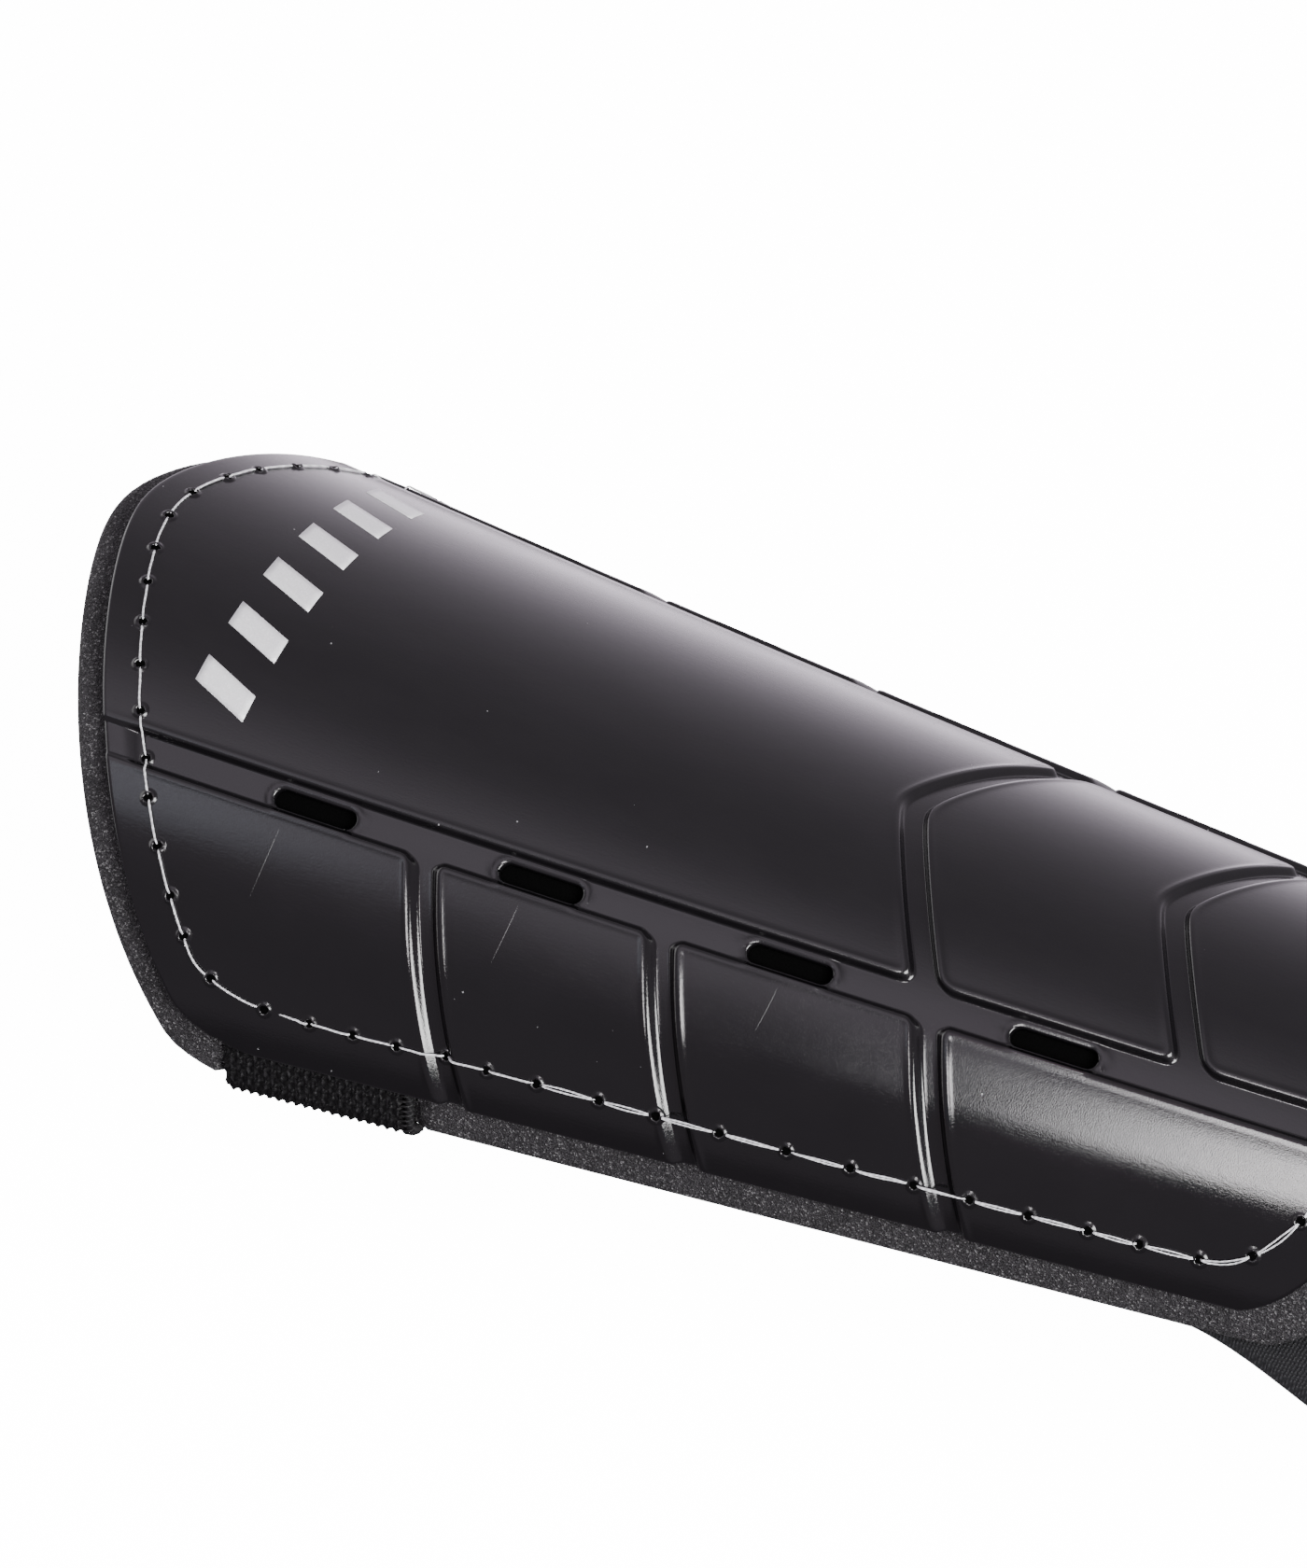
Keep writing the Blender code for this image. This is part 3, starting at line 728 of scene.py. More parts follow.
def point_height(x, phi):
    """Height of the moulded surface over the skin at any point."""
    x, phi = np.broadcast_arrays(np.asarray(x, float), np.asarray(phi, float))
    crossings = []
    for k, centre in enumerate(CROSSINGS):
        r = radius(centre)
        groove = groove_angle(centre) * r
        girth = np.abs(phi) * r
        bend = CHEVRON_SLOPE if k >= 2 else 0.0
        inward = centre - bend * (groove - np.hypot(girth, 2.0))
        outward = centre + CROSS_SKEW * (girth - groove)
        crossings.append(x - np.where(np.abs(phi) < groove_angle(x), inward, outward))
    share = np.abs(phi) / EDGE_ANGLE
    return shell_height(x, phi, crossings, x - knee_outline(share), foot_outline(share) - x)[0]


def surface(x, phi, lift=0.0):
    """Point of the moulded surface, lifted off it."""
    return skin(x, phi, point_height(x, phi) + lift)


def surface_normal(x, phi):
    across = skin(x, phi + 0.01) - skin(x, phi - 0.01)
    along_x = skin(x + 0.5, phi) - skin(x - 0.5, phi)
    normal = np.cross(along_x, across)
    outward = normal[..., 2:] * np.cos(phi)[..., None] - normal[..., 1:2] * np.sin(phi)[..., None]
    normal = normal * np.sign(outward)
    return normal / np.linalg.norm(normal, axis=-1, keepdims=True)


# --- stitching ---

# Reach and height of each ring of a needle burr, and the two radii of the star-shaped hole, drawn as a black
# star of painted shade.
BURR_RINGS = ((1.55, -0.06), (1.25, 0.05), (1.02, 0.20), (0.86, 0.28), (0.7, 0.16), (0.58, -0.02))
HOLE_STAR = (0.92, 0.58)


def stitch_line():
    """Dense closed line of (station, angle) inside the shell's edge, from the near side's knee end."""
    inset = lambda x: 8.4 - 1.3 * smooth(x / 140)
    s = np.linspace(-1, 1, 400)
    knee_x = knee_outline(s, -STITCH_INSET_END)
    knee_phi = s * above_edge(knee_x, inset(knee_x))
    foot_s = np.linspace(1, -1, 300)
    foot_x = foot_outline(foot_s, -STITCH_INSET_END)
    foot_phi = foot_s * above_edge(foot_x, inset(foot_x))
    near_x = np.linspace(knee_x[-1], foot_x[0], 500)[1:-1]
    far_x = near_x[::-1]
    x = np.concatenate([knee_x, near_x, foot_x, far_x])
    near_phi = above_edge(near_x, inset(near_x))
    phi = np.concatenate([knee_phi, near_phi, foot_phi, -near_phi[::-1]])
    return x, phi


def needle_places():
    """Stations and angles of the needle holes, in order round the shell."""
    x, phi = stitch_line()
    first = int(np.argmin(np.abs(x - 3.3) + 100 * (phi < 0.5)))
    x = np.roll(x, -first)
    phi = np.roll(phi, -first)
    spots = skin(x, phi)
    length = np.concatenate([[0], np.cumsum(np.linalg.norm(np.diff(spots, axis=0), axis=1))])
    pitch = 7.05 + 2.6 * smooth((x - 38) / 14) - 1.3 * smooth((x - 98) / 8)
    pitch = np.where((phi > 0) | (x > 60), pitch, 7.15)
    count = np.concatenate([[0], np.cumsum(np.diff(length) / pitch[:-1])])
    marks = np.arange(round(count[-1])) * count[-1] / round(count[-1])
    wobble = rng.normal(0, 0.05, len(marks))
    at = np.interp(marks + wobble, count, np.arange(len(x)))
    return np.interp(at, np.arange(len(x)), x), np.interp(at, np.arange(len(x)), phi)


def add_needle_hole(burrs, holes, spot, normal, ahead):
    """Ragged rim pushed up by the needle, and a black star over the hole as painted shade."""
    across = np.cross(normal, ahead)
    turns = np.linspace(0, 2 * np.pi, 14, endpoint=False)
    count = len(turns)
    round_it = ahead * np.cos(turns)[:, None] + across * np.sin(turns)[:, None]
    ragged = 1 + rng.normal(0, 0.10, count)
    tall = 1 + rng.normal(0, 0.35, count)
    even = np.ones(count)
    rings = []
    for reach, height in BURR_RINGS:
        wide = reach * (even if reach > 1.0 else ragged)
        lift = height * (tall if height > 0.1 else even)
        rings.append(spot + round_it * wide[:, None] + normal * lift[:, None])
    points = np.concatenate([*rings, [spot - normal * 0.08]])
    faces = [tuple(f) for f in grid_faces(len(rings), count, flip=True, wrap=True)]
    last = (len(rings) - 1) * count
    tip = len(points) - 1
    for k in range(count):
        n = (k + 1) % count
        faces += [(last + k, last + n, tip), (n, k, tip)]
    burrs.add(points, faces)
    # Black star laid just over the hole: painted shade standing in for the dark depth of the hole.
    corners = []
    for k in range(8):
        reach = HOLE_STAR[k % 2]
        turn = k * math.pi / 4
        corners.append(spot + reach * (ahead * math.cos(turn) + across * math.sin(turn)) + normal * 0.07)
    under = [c - normal * 0.12 for c in corners]
    side = [(k, (k + 1) % 8, 8 + (k + 1) % 8, 8 + k) for k in range(8)]
    holes.add(corners + under, [tuple(range(7, -1, -1)), tuple(range(8, 16)), *side])


def build_stitches(thread, shell_slot, black):
    """One or two strands of thread from each needle hole to the next."""
    threads, burrs, holes = Gather(), Gather(), Gather()
    dense_x, dense_phi = stitch_line()
    dense = skin(dense_x, dense_phi)
    whole = len(dense_x)
    ends = np.array([0, 0.04, 0.08, 0.12, 0.17])
    steps = np.concatenate([ends, np.linspace(0.25, 0.75, 6), 1 - ends[::-1]])
    arch = smooth(np.minimum(steps, 1 - steps) / 0.15)
    hx, hphi = needle_places()
    for x, phi, next_x, next_phi in zip(hx, hphi, np.roll(hx, -1), np.roll(hphi, -1)):
        spot = surface(x, phi)
        normal = surface_normal(np.array(x), np.array(phi))
        ahead = skin(next_x, next_phi) - spot
        ahead = ahead - normal * np.dot(ahead, normal)
        ahead /= np.linalg.norm(ahead)
        add_needle_hole(burrs, holes, spot, normal, ahead)

        a = int(np.argmin(np.linalg.norm(dense - skin(x, phi), axis=1)))
        b = int(np.argmin(np.linalg.norm(dense - skin(next_x, next_phi), axis=1)))
        index = lerp(a, b + whole if b < a else b, steps)
        px = np.interp(index, np.arange(2 * whole), np.tile(dense_x, 2))
        pphi = np.interp(index, np.arange(2 * whole), np.tile(dense_phi, 2))
        chord = lerp(float(point_height(x, phi)), float(point_height(next_x, next_phi)), steps)
        path = skin(px, pphi, np.maximum(point_height(px, pphi), chord))
        out = surface_normal(px, pphi)
        away = np.cross(out, np.gradient(path, axis=0))
        away /= np.linalg.norm(away, axis=1, keepdims=True)
        double = x > 40 or (phi < 0 and x > -10)
        for strand in ((-1, 1) if double else (0,)):
            lift = -0.32 + (0.57 + 0.04 * rng.normal()) * arch
            drift = strand * (0.21 + 0.05 * rng.normal()) * np.sin(np.pi * steps)
            drift = drift + 0.06 * rng.normal() * np.sin(2 * np.pi * steps)
            line = path + out * lift[:, None] + away * drift[:, None]
            threads.tube(line, 0.135 if double else 0.175, 7, up=out)
    sewn = threads.make("stitch_thread", "guard", materials=[thread])
    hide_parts("perimeter_thread")
    burrs.make("needle_burrs", "guard", materials=[shell_slot])
    holes.make("needle_hole_shade", "guard", flat=True, materials=[black])


def build_flow_lines(shell_slot):
    """Fine moulding lines that run down the side panels from the vent slots."""
    lines = Gather()
    for k, shift in enumerate((-3.5, -1.5, 0.0, 3.2)):
        for side in (1, -1):
            t = np.linspace(0, 1, 20)
            x = SLOT_X[k] + shift - 1.6 * t**1.5
            top = groove_angle(x) + (GROOVE_OUT + 1.0) / radius(x)
            phi = side * lerp(top, above_edge(x, 22.0), t)
            radii = 0.045 * np.sin(np.pi * np.clip(t + 0.08, 0, 1)) ** 0.5 + 0.01
            lines.tube(surface(x, phi, -0.035), radii, 6, up=surface_normal(x, phi))
    lines.make("flow_lines", "guard", materials=[shell_slot])


def build_print(ink):
    """Row of six slanted bars across the knee end."""
    bars = Gather()
    for k in range(6):
        arc = 26.5 - 10.3 * k
        u, v = np.meshgrid(np.linspace(-0.5, 0.5, 9), np.linspace(-0.5, 0.5, 5), indexing="ij")
        x = -19.8 + 9.5 * u
        girth = arc + 4.4 * v + 3.2 * u
        phi = girth / radius(x)
        bars.add(*sheet_arrays(skin(x, phi, 0.05), skin(x, phi, -0.05), flip=True))
    bars.make("knee_print", "guard", materials=[ink])


def build_vent_shade(black):
    """Dead-black sheet behind each vent slot, between shell and foam: painted shade that makes the slot's
    depth look black.
    """
    slot_shade = Gather()
    for k in range(4):
        for side in (1, -1):
            u, v = np.meshgrid(np.linspace(-9.2, 9.2, 9), np.linspace(-3.0, 3.0, 4), indexing="ij")
            x = SLOT_X[k] + u
            phi = side * (groove_angle(x) + (SLOT_SHIFT + v) / radius(x))
            slot_shade.add(*sheet_arrays(skin(x, phi, -SHELL_WALL - 0.08), skin(x, phi, -SHELL_WALL - 0.2)))
    slot_shade.make("vent_slot_shade", "guard", materials=[black])


# --- foam and lining ---


def layer_grid(grow, drop, step):
    """Stations, shares round the leg and distance from the border of a soft layer."""
    near = np.array([0.0, 0.1, 0.25, 0.45, 0.7, 1.0, 1.4, 2.0, 3.0, 4.2, 5.6, 7.2])
    girth = (KNEE_GIRTH + FOOT_GIRTH) / 2 + grow
    inner = np.linspace(0, 1 - near[-1] / girth, int(girth / step))
    shares = np.concatenate([inner, 1 - near[::-1][1:] / girth])
    shares = np.concatenate([-shares[::-1][:-1], shares])
    start = knee_outline(shares, grow)[:, None]
    end = foot_outline(shares, grow)[:, None]
    u = np.linspace(0, 1, int(200 / step))[None]
    middle = start + near[-1] + u * (end - start - 2 * near[-1])
    x = np.concatenate([start + near[None, :-1], middle, end - near[None, ::-1][:, 1:]], axis=1)
    edge = edge_angle(x, drop)
    phi = shares[:, None] * edge
    gap = np.minimum((1 - np.abs(shares))[:, None] * edge * radius(x), np.minimum(x - start, end - x))
    return x, phi, gap


def under_tab(points):
    """Keeps a layer above the loop tab that passes below the far edge."""
    x, y, z = points[..., 0], points[..., 1], points[..., 2]
    inside = smooth((x + 7.6) / 1.0) * smooth((25.7 - x) / 1.0) * smooth((y - 38) / 3)
    points[..., 2] = np.where(inside > 0, np.maximum(z, lerp(z, 4.2, inside)), z)
    return points


def build_foam(material):
    x, phi, gap = layer_grid(FOAM_BORDER, FOAM_DROP, 1.9)
    top = -FOAM[0] + round_edge(gap, 1.3)
    low = -FOAM[1] - round_edge(gap, 0.9)
    window = smooth((x + 7.5) / 1.0) * smooth((25.6 - x) / 1.0)
    pocket = window * smooth((np.abs(phi) - above_edge(x, 13.0)) * radius(x) / 1.5)
    top = np.minimum(top, lerp(top, -FOAM[0] - 1.65, pocket))
    top = top + 0.05 * np.sin(x * 0.61 + 3 * phi) * np.sin(x * 0.23 - 9 * phi) * smooth(gap / 1.5)
    outer = under_tab(skin(x, phi, top))
    inner = under_tab(skin(x, phi, low))
    foam = sheet_mesh("foam_pad", outer, inner, body="guard", materials=[material])
    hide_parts("foam_backing")


def build_lining(material):
    x, phi, gap = layer_grid(LINING_BORDER, LINING_DROP, 2.2)
    outer = under_tab(skin(x, phi, -LINING[0]))
    quilt = 0.12 * np.cos(x * 1.1) * np.cos(phi * radius(x) * 1.1)
    inner = under_tab(skin(x, phi, -LINING[1] + 0.15 + quilt - 0.4 * round_edge(gap, 0.5)))
    lining = sheet_mesh("lining_knit", outer, inner, body="guard", materials=[material])
    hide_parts("inner_lining")
    middle = skin(x, phi, -LINING[1])


# --- straps ---

# Sideways reach and height along one hook of the fastening tape.
HOOK = ((0, 1.55), (0, 1.78), (0.12, 1.92), (0.32, 1.93), (0.4, 1.84))


def hook_path(x, floor, thick, bend, leg_end, side):
    """Outer and inner lines of a strap end from under the shell to the end of its leg, for one station."""
    low = float(edge_angle(x, EDGE_Z - floor - bend))
    angles = np.linspace(float(above_edge(x, STRAP_TOP)), low, 12)
    outer = skin(x, angles, -FOAM[0])
    inner = skin(x, angles, -FOAM[0] - thick)
    y, z = outer[-1, 1], outer[-1, 2]
    r_out = z - floor
    r_in = r_out - thick
    turn = np.radians(np.linspace(0, 90, 12))[1:]
    arc_out = np.stack([np.full(11, x), y + r_out - r_out * np.cos(turn), z - r_out * np.sin(turn)], -1)
    arc_in = np.stack([np.full(11, x), y + r_out - r_in * np.cos(turn), z - r_in * np.sin(turn)], -1)
    reach = np.linspace(0, 1, 30)[1:]
    leg_out = np.stack([np.full(29, x), lerp(arc_out[-1, 1], leg_end, reach), np.full(29, floor)], -1)
    leg_in = leg_out + (0, 0, thick)
    outer = np.concatenate([outer, arc_out, leg_out])
    inner = np.concatenate([inner, arc_in, leg_in])
    outer[:, 1] *= side
    inner[:, 1] *= side
    return outer, inner


def resample(outer, inner, step):
    """Both lines of a strap at even steps along the middle line."""
    middle = (outer + inner) / 2
    length = np.concatenate([[0], np.cumsum(np.linalg.norm(np.diff(middle, axis=0), axis=1))])
    marks = np.linspace(0, length[-1], int(round(length[-1] / step)) + 1)
    pick = lambda line: np.stack([np.interp(marks, length, line[:, i]) for i in range(3)], -1)
    return pick(outer), pick(inner), marks


def knit_relief(across, down, pitch, height):
    """Diagonal rows of yarn nubs."""
    a = 2 * np.pi * (across + 0.5 * down) / pitch
    b = 2 * np.pi * (down / (pitch * 0.84) + 0.25 * np.sin(a))
    nub = (0.5 + 0.5 * np.cos(a)) * (0.5 + 0.5 * np.cos(b))
    return height * (nub**0.7 - 0.25)


def strap_sheet(name, floor, thick, bend, leg_end, side, step, pitch, relief, material, round_end=0.0):
    stations = np.arange(STRAP_X[0], STRAP_X[1] + 1e-6, step)
    rows_out, rows_in = [], []
    count = None
    for x in stations:
        outer, inner, marks = resample(*hook_path(float(x), floor, thick, bend, leg_end, side), step)
        if count is None:
            count = len(marks)
        pick = np.linspace(0, len(marks) - 1, count)
        whole = np.arange(len(marks))
        rows_out.append(np.stack([np.interp(pick, whole, outer[:, i]) for i in range(3)], -1))
        rows_in.append(np.stack([np.interp(pick, whole, inner[:, i]) for i in range(3)], -1))
    outer = np.array(rows_out)
    inner = np.array(rows_in)
    away = outer - inner
    away /= np.linalg.norm(away, axis=2, keepdims=True)
    down = np.broadcast_to(np.arange(count) * step, outer.shape[:2])
    across = np.broadcast_to(stations[:, None], outer.shape[:2])
    edge = np.minimum(across - STRAP_X[0], STRAP_X[1] - across)
    rounding = round_edge(np.minimum(edge, (count - 1) * step - down), 0.5) * 0.8
    bumps = knit_relief(across, down, pitch, relief)
    outer = outer + away * (rounding + bumps)[..., None]
    inner = inner - away * (rounding + knit_relief(across + pitch / 2, down, pitch, relief))[..., None]
    if round_end:
        left = (count - 1) * step - down
        dip = np.clip(round_end - left, 0, round_end)
        half = (STRAP_X[1] - STRAP_X[0]) / 2
        share = (half - round_end + np.sqrt(np.maximum(0, round_end**2 - dip**2))) / half
        middle = (STRAP_X[0] + STRAP_X[1]) / 2
        for grid in (outer, inner):
            grid[..., 0] = middle + (grid[..., 0] - middle) * share
    return sheet_mesh(name, outer, inner, materials=[material]), count * step


def overlock(name, path_of, material, start, stop, body=None):
    """Ladder of yarn wrapped round a strap's ankle-side edge."""
    wraps = Gather()
    outer, inner, marks = path_of
    away = outer - inner
    thick = np.linalg.norm(away, axis=1, keepdims=True)
    away = away / thick
    middle = (outer + inner) / 2
    half = thick[:, 0].mean() / 2
    core = middle + (0.9, 0, 0)
    wraps.tube(core[::3], 0.62, 8, up=away[::3], flat=0.85)
    for mark in np.arange(start, min(stop, marks[-1]), 0.92):
        i = int(np.argmin(np.abs(marks - mark)))
        ahead = middle[min(i + 1, len(middle) - 1)] - middle[max(i - 1, 0)]
        ahead /= np.linalg.norm(ahead)
        lean = 0.35 + 0.06 * rng.normal()
        turn = np.radians(np.linspace(-60, 60, 9))
        across = -1.5 + 3.0 * np.cos(turn)
        height = (half + 0.22) * np.sin(turn * 1.5)
        path = middle[i] + np.stack([across, 0 * across, 0 * across], -1) + away[i] * height[:, None]
        path = path + ahead * (lean * (turn / turn[-1]))[:, None]
        wraps.tube(path, 0.2, 6, up=ahead)
    return wraps.make(name, body, materials=[material])


def build_straps(web, edging, hooks, pile):
    strap, length = strap_sheet("strap_web", 0.1, 1.15, 4.0, STRAP_END_Y, 1, 0.28, 1.45, 0.62, web, 6.0)
    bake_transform(strap)
    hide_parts("strap_anchor", "calf_strap")
    line = resample(*hook_path(STRAP_X[1], 0.1, 1.15, 4.0, STRAP_END_Y - 7, 1), 0.3)
    wraps = overlock("strap_overlock_yarn", line, edging, 1.0, 200.0)
    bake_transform(wraps)
    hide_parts("anchor_overlock", "strap_overlock")

    tab, tab_length = strap_sheet("tab_web", 3.0, 0.75, 2.1, -20.0, -1, 0.42, 1.5, 0.2, web)
    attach(tab, "guard")
    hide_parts("loop_tab")

    x, y = np.meshgrid(np.arange(-5, 21.21, 0.45), np.arange(21, 51.01, 0.45), indexing="ij")
    fuzz = rng.normal(0, 0.09, x.shape)
    gap = np.minimum(np.minimum(x + 5, 21.2 - x), np.minimum(y - 21, 51 - y))
    low = np.stack([x, y, 2.3 + fuzz - 0.3 * round_edge(gap, 0.8)], -1)
    top = np.stack([x, y, np.full(x.shape, 2.7)], -1)
    loops = sheet_mesh("pile_loops", top, low, body="guard", materials=[pile])
    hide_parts("loop_pile")

    field = Gather()
    x0, x1 = STRAP_X[0] + 2, STRAP_X[1] - 2
    y0, y1 = HOOK_Y
    base = [(x0, y0), (x1, y0), (x1, y1), (x0, y1)]
    slab = [(x, y, z) for z in (1.42, 1.58) for x, y in base]
    sides = [(k, (k + 1) % 4, 4 + (k + 1) % 4, 4 + k) for k in range(4)]
    field.add(slab, [(3, 2, 1, 0), (4, 5, 6, 7), *sides])
    for row, y in enumerate(np.arange(y0 + 0.8, y1 - 0.5, 1.15)):
        for x in np.arange(x0 + 0.7 + 0.5 * (row % 2), x1 - 0.5, 1.15):
            side = 1 if row % 2 else -1
            path = [(x + lean * side, y, z) for lean, z in HOOK]
            field.tube(path, 0.075, 5, up=(0, 1, 0))
    patch = field.make("hook_field", "calf_strap", materials=[hooks])
    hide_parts("hook_patch")


# --- ankle sleeve ---

# Rings of an ankle pad and its seam, as shares of its radius.
PAD_RINGS = (1.0, 0.985, 0.96, 0.92, 0.87, 0.8, 0.72, 0.62, 0.5, 0.38, 0.26, 0.13)
PAD_SEAM = 0.905


def sleeve_width(x):
    before = lerp(35.0, 48.5, smooth((x - 136.0) / 44.0))
    return np.where(x < PIVOT_X, before, lerp(48.5, 43.0, smooth((x - PIVOT_X) / 50)))


def sleeve_top(x, y):
    beyond = smooth((x - 158.0) / 26.0)
    reach = lerp(29.0, sleeve_width(x) - 3.0, beyond)
    height = lerp(10.5, 15.5, beyond) - 3.0 * smooth((x - PIVOT_X) / 46)
    t = np.minimum(1.0, np.abs(y) / reach)
    return FOLD + height * (1 - t * t) ** 1.4


def sleeve_ring(x, count):
    """Evenly spaced points round the sleeve at one station, with their outward normals."""
    w = float(sleeve_width(x)) - FOLD / 2
    bottom = np.linspace(-w, w, 120)
    turn = np.linspace(-np.pi / 2, np.pi / 2, 16)[1:-1]
    right = np.stack([w + FOLD / 2 * np.cos(turn), FOLD / 2 + FOLD / 2 * np.sin(turn)], -1)
    top = np.stack([bottom[::-1], sleeve_top(x, bottom[::-1])], -1)
    left = right[::-1] * (-1, 1)
    ring = np.concatenate([np.stack([bottom, 0 * bottom], -1), right, top, left])
    closed = np.concatenate([ring, ring[:1]])
    length = np.concatenate([[0], np.cumsum(np.linalg.norm(np.diff(closed, axis=0), axis=1))])
    marks = np.linspace(0, length[-1], count, endpoint=False)
    spots = np.stack([np.interp(marks, length, closed[:, i]) for i in range(2)], -1)
    ahead = np.roll(spots, -2, axis=0) - np.roll(spots, 2, axis=0)
    ahead /= np.linalg.norm(ahead, axis=1, keepdims=True)
    normal = np.stack([ahead[:, 1], -ahead[:, 0]], -1)
    return spots, normal, length[-1]


def sleeve_tube(name, stations, count, ribs, relief, wall, material, heel=False, swell=None):
    outer, inner = [], []
    shares = np.arange(count) / count
    for j, x in enumerate(stations):
        spots, normal, _ = sleeve_ring(float(x), count)
        bump = relief * (0.5 + 0.5 * np.cos(2 * np.pi * ribs * shares)) - relief * 0.7
        if swell is not None:
            bump = bump + swell[j]
        out = spots + normal * np.minimum(bump, 0.3)[:, None]
        inn = spots - normal * wall
        out[:, 1] = np.maximum(out[:, 1], 0.02)
        outer.append(np.stack([np.full(count, x), out[:, 0], out[:, 1]], -1))
        inner.append(np.stack([np.full(count, x), inn[:, 0], inn[:, 1]], -1))
    outer, inner = np.array(outer).reshape(-1, 3), np.array(inner).reshape(-1, 3)
    rows = len(stations)
    size = rows * count
    quads = grid_faces(rows, count, wrap=True)
    gone = np.zeros(len(quads), bool)
    if heel:
        inside = (outer[:, 2] < FOLD / 2) & (np.hypot(outer[:, 0] - HEEL_X, outer[:, 1]) < HEEL_R)
        gone = inside[quads].any(axis=1)
        rim = np.intersect1d(quads[gone], quads[~gone])
        for grid in (outer, inner):
            away = grid[rim, :2] - (HEEL_X, 0)
            grid[rim, :2] = (HEEL_X, 0) + away / np.linalg.norm(away, axis=1, keepdims=True) * HEEL_R
    kept = quads[~gone]
    faces = [*kept, *(kept[:, ::-1] + size)]
    last = size - count
    for k in range(count):
        n = (k + 1) % count
        faces.append((n, k, k + size, n + size))
        faces.append((last + k, last + n, last + n + size, last + k + size))
    faces += [(a, b, b + size, a + size) for a, b in border_edges(quads[gone])]
    points, faces, _ = keep_used(np.concatenate([outer, inner]), faces)
    return add_mesh(name, points, faces, materials=[material])


def dashes(gather, path, normals, pitch, share, thick, sides=6):
    """Row of short stitches along a closed or open path."""
    length = np.concatenate([[0], np.cumsum(np.linalg.norm(np.diff(path, axis=0), axis=1))])
    for mark in np.arange(pitch / 2, length[-1] - pitch, pitch):
        t = np.linspace(mark, mark + pitch * share, 5)
        spots = np.stack([np.interp(t, length, path[:, i]) for i in range(3)], -1)
        up = np.stack([np.interp(t, length, normals[:, i]) for i in range(3)], -1)
        up /= np.linalg.norm(up, axis=1, keepdims=True)
        lift = np.array([-0.12, 0.1, 0.15, 0.1, -0.12])[:, None]
        gather.tube(spots + up * lift, thick, sides, up=up)


def ring_3d(x, count, lift=0.0):
    spots, normal, _ = sleeve_ring(float(x), count)
    spots = np.concatenate([spots, spots[:1]])
    normal = np.concatenate([normal, normal[:1]])
    spots = spots + normal * lift
    full = np.full(len(spots), x)
    return np.column_stack([full, spots]), np.column_stack([0 * full, normal])


def build_sleeve(knit, edging):
    first = MOUTH_X + BINDING + 0.1
    last = SLEEVE_END_X - BINDING - 0.1
    sleeve = sleeve_tube("sleeve_knit", np.linspace(first, last, 96), 384, 96, 0.34, 1.0, knit, heel=True)
    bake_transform(sleeve)
    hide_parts("ankle_cuff", "foot_sleeve")

    turn = np.linspace(0, 2 * np.pi, 97)
    circle = np.stack([HEEL_X + (HEEL_R + 0.7) * np.cos(turn), (HEEL_R + 0.7) * np.sin(turn), 0 * turn], -1)
    hem = Gather()
    ring = circle[:-1]
    section = np.linspace(0, 2 * np.pi, 10, endpoint=False)
    out = np.stack([np.cos(turn[:-1]), np.sin(turn[:-1]), 0 * turn[:-1]], -1)
    wide = 1.3 + 0.08 * np.cos(48 * turn[:-1])
    points = ring[:, None] + out[:, None] * (wide[:, None] * np.cos(section)[None])[..., None]
    points = points + np.array([0, 0, 1.0]) * (0.62 + 0.6 * np.sin(section))[None, :, None]
    spot = lambda j, k: j % 96 * 10 + k % 10
    rolled = []
    for j in range(96):
        rolled += [(spot(j, k), spot(j, k + 1), spot(j + 1, k + 1), spot(j + 1, k)) for k in range(10)]
    hem.add(points.reshape(-1, 3), rolled)
    heel = hem.make("heel_hem", materials=[edging])
    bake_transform(heel)

    for name, x0, x1, body, node in (
        ("cuff_edge", MOUTH_X, MOUTH_X + BINDING, "guard", "cuff_binding"),
        ("foot_edge", SLEEVE_END_X - BINDING, SLEEVE_END_X, "foot_sleeve", "foot_binding"),
    ):
        stations = x0 + np.array([0, 0.15, 0.5, 1.2, 2, 3, 4, 4.8, 5.5, 5.85, BINDING])
        gap = np.minimum(stations - x0, x1 - stations)
        swell = 0.28 + round_edge(gap, 1.2) * 0.6 - 0.12 * np.cos((stations - x0) * 2 * np.pi / 2.0)
        band = sleeve_tube(name, stations, 384, 128, 0.12, 1.0, edging, swell=swell)
        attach(band, body)
        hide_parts(node)
        seam = Gather()
        for x in (x0 + 1.6, x1 - 1.6):
            path, normals = ring_3d(x, 384, 0.25)
            dashes(seam, path, normals, 2.6, 0.72, 0.17)
        seam.make(name + "_seam", body, materials=[edging])


def inflate(obj, pressure, cap, frames):
    """Swells a closed pad with a short cloth simulation and keeps the result."""
    rest = np.array([v.co for v in obj.data.vertices])
    cloth = obj.modifiers.new("swell", "CLOTH")
    settings = cloth.settings
    settings.use_pressure = True
    settings.uniform_pressure_force = pressure
    settings.effector_weights.gravity = 0.0
    settings.quality = 6
    settings.mass = 0.1
    settings.tension_stiffness = 25
    settings.compression_stiffness = 25
    settings.shear_stiffness = 12
    settings.bending_stiffness = 1.0
    settings.vertex_group_mass = "pin"
    scene = bpy.context.scene
    for number in range(1, frames + 1):
        scene.frame_set(number)
    graph = bpy.context.evaluated_depsgraph_get()
    moved = np.array([v.co for v in obj.evaluated_get(graph).data.vertices])
    obj.modifiers.clear()
    scene.frame_set(1)
    shift = moved - rest
    size = np.linalg.norm(shift, axis=1, keepdims=True)
    shift = shift * np.minimum(1, cap / np.maximum(size, 1e-9))
    obj.data.vertices.foreach_set("co", (rest + shift).reshape(-1))
    obj.data.update()


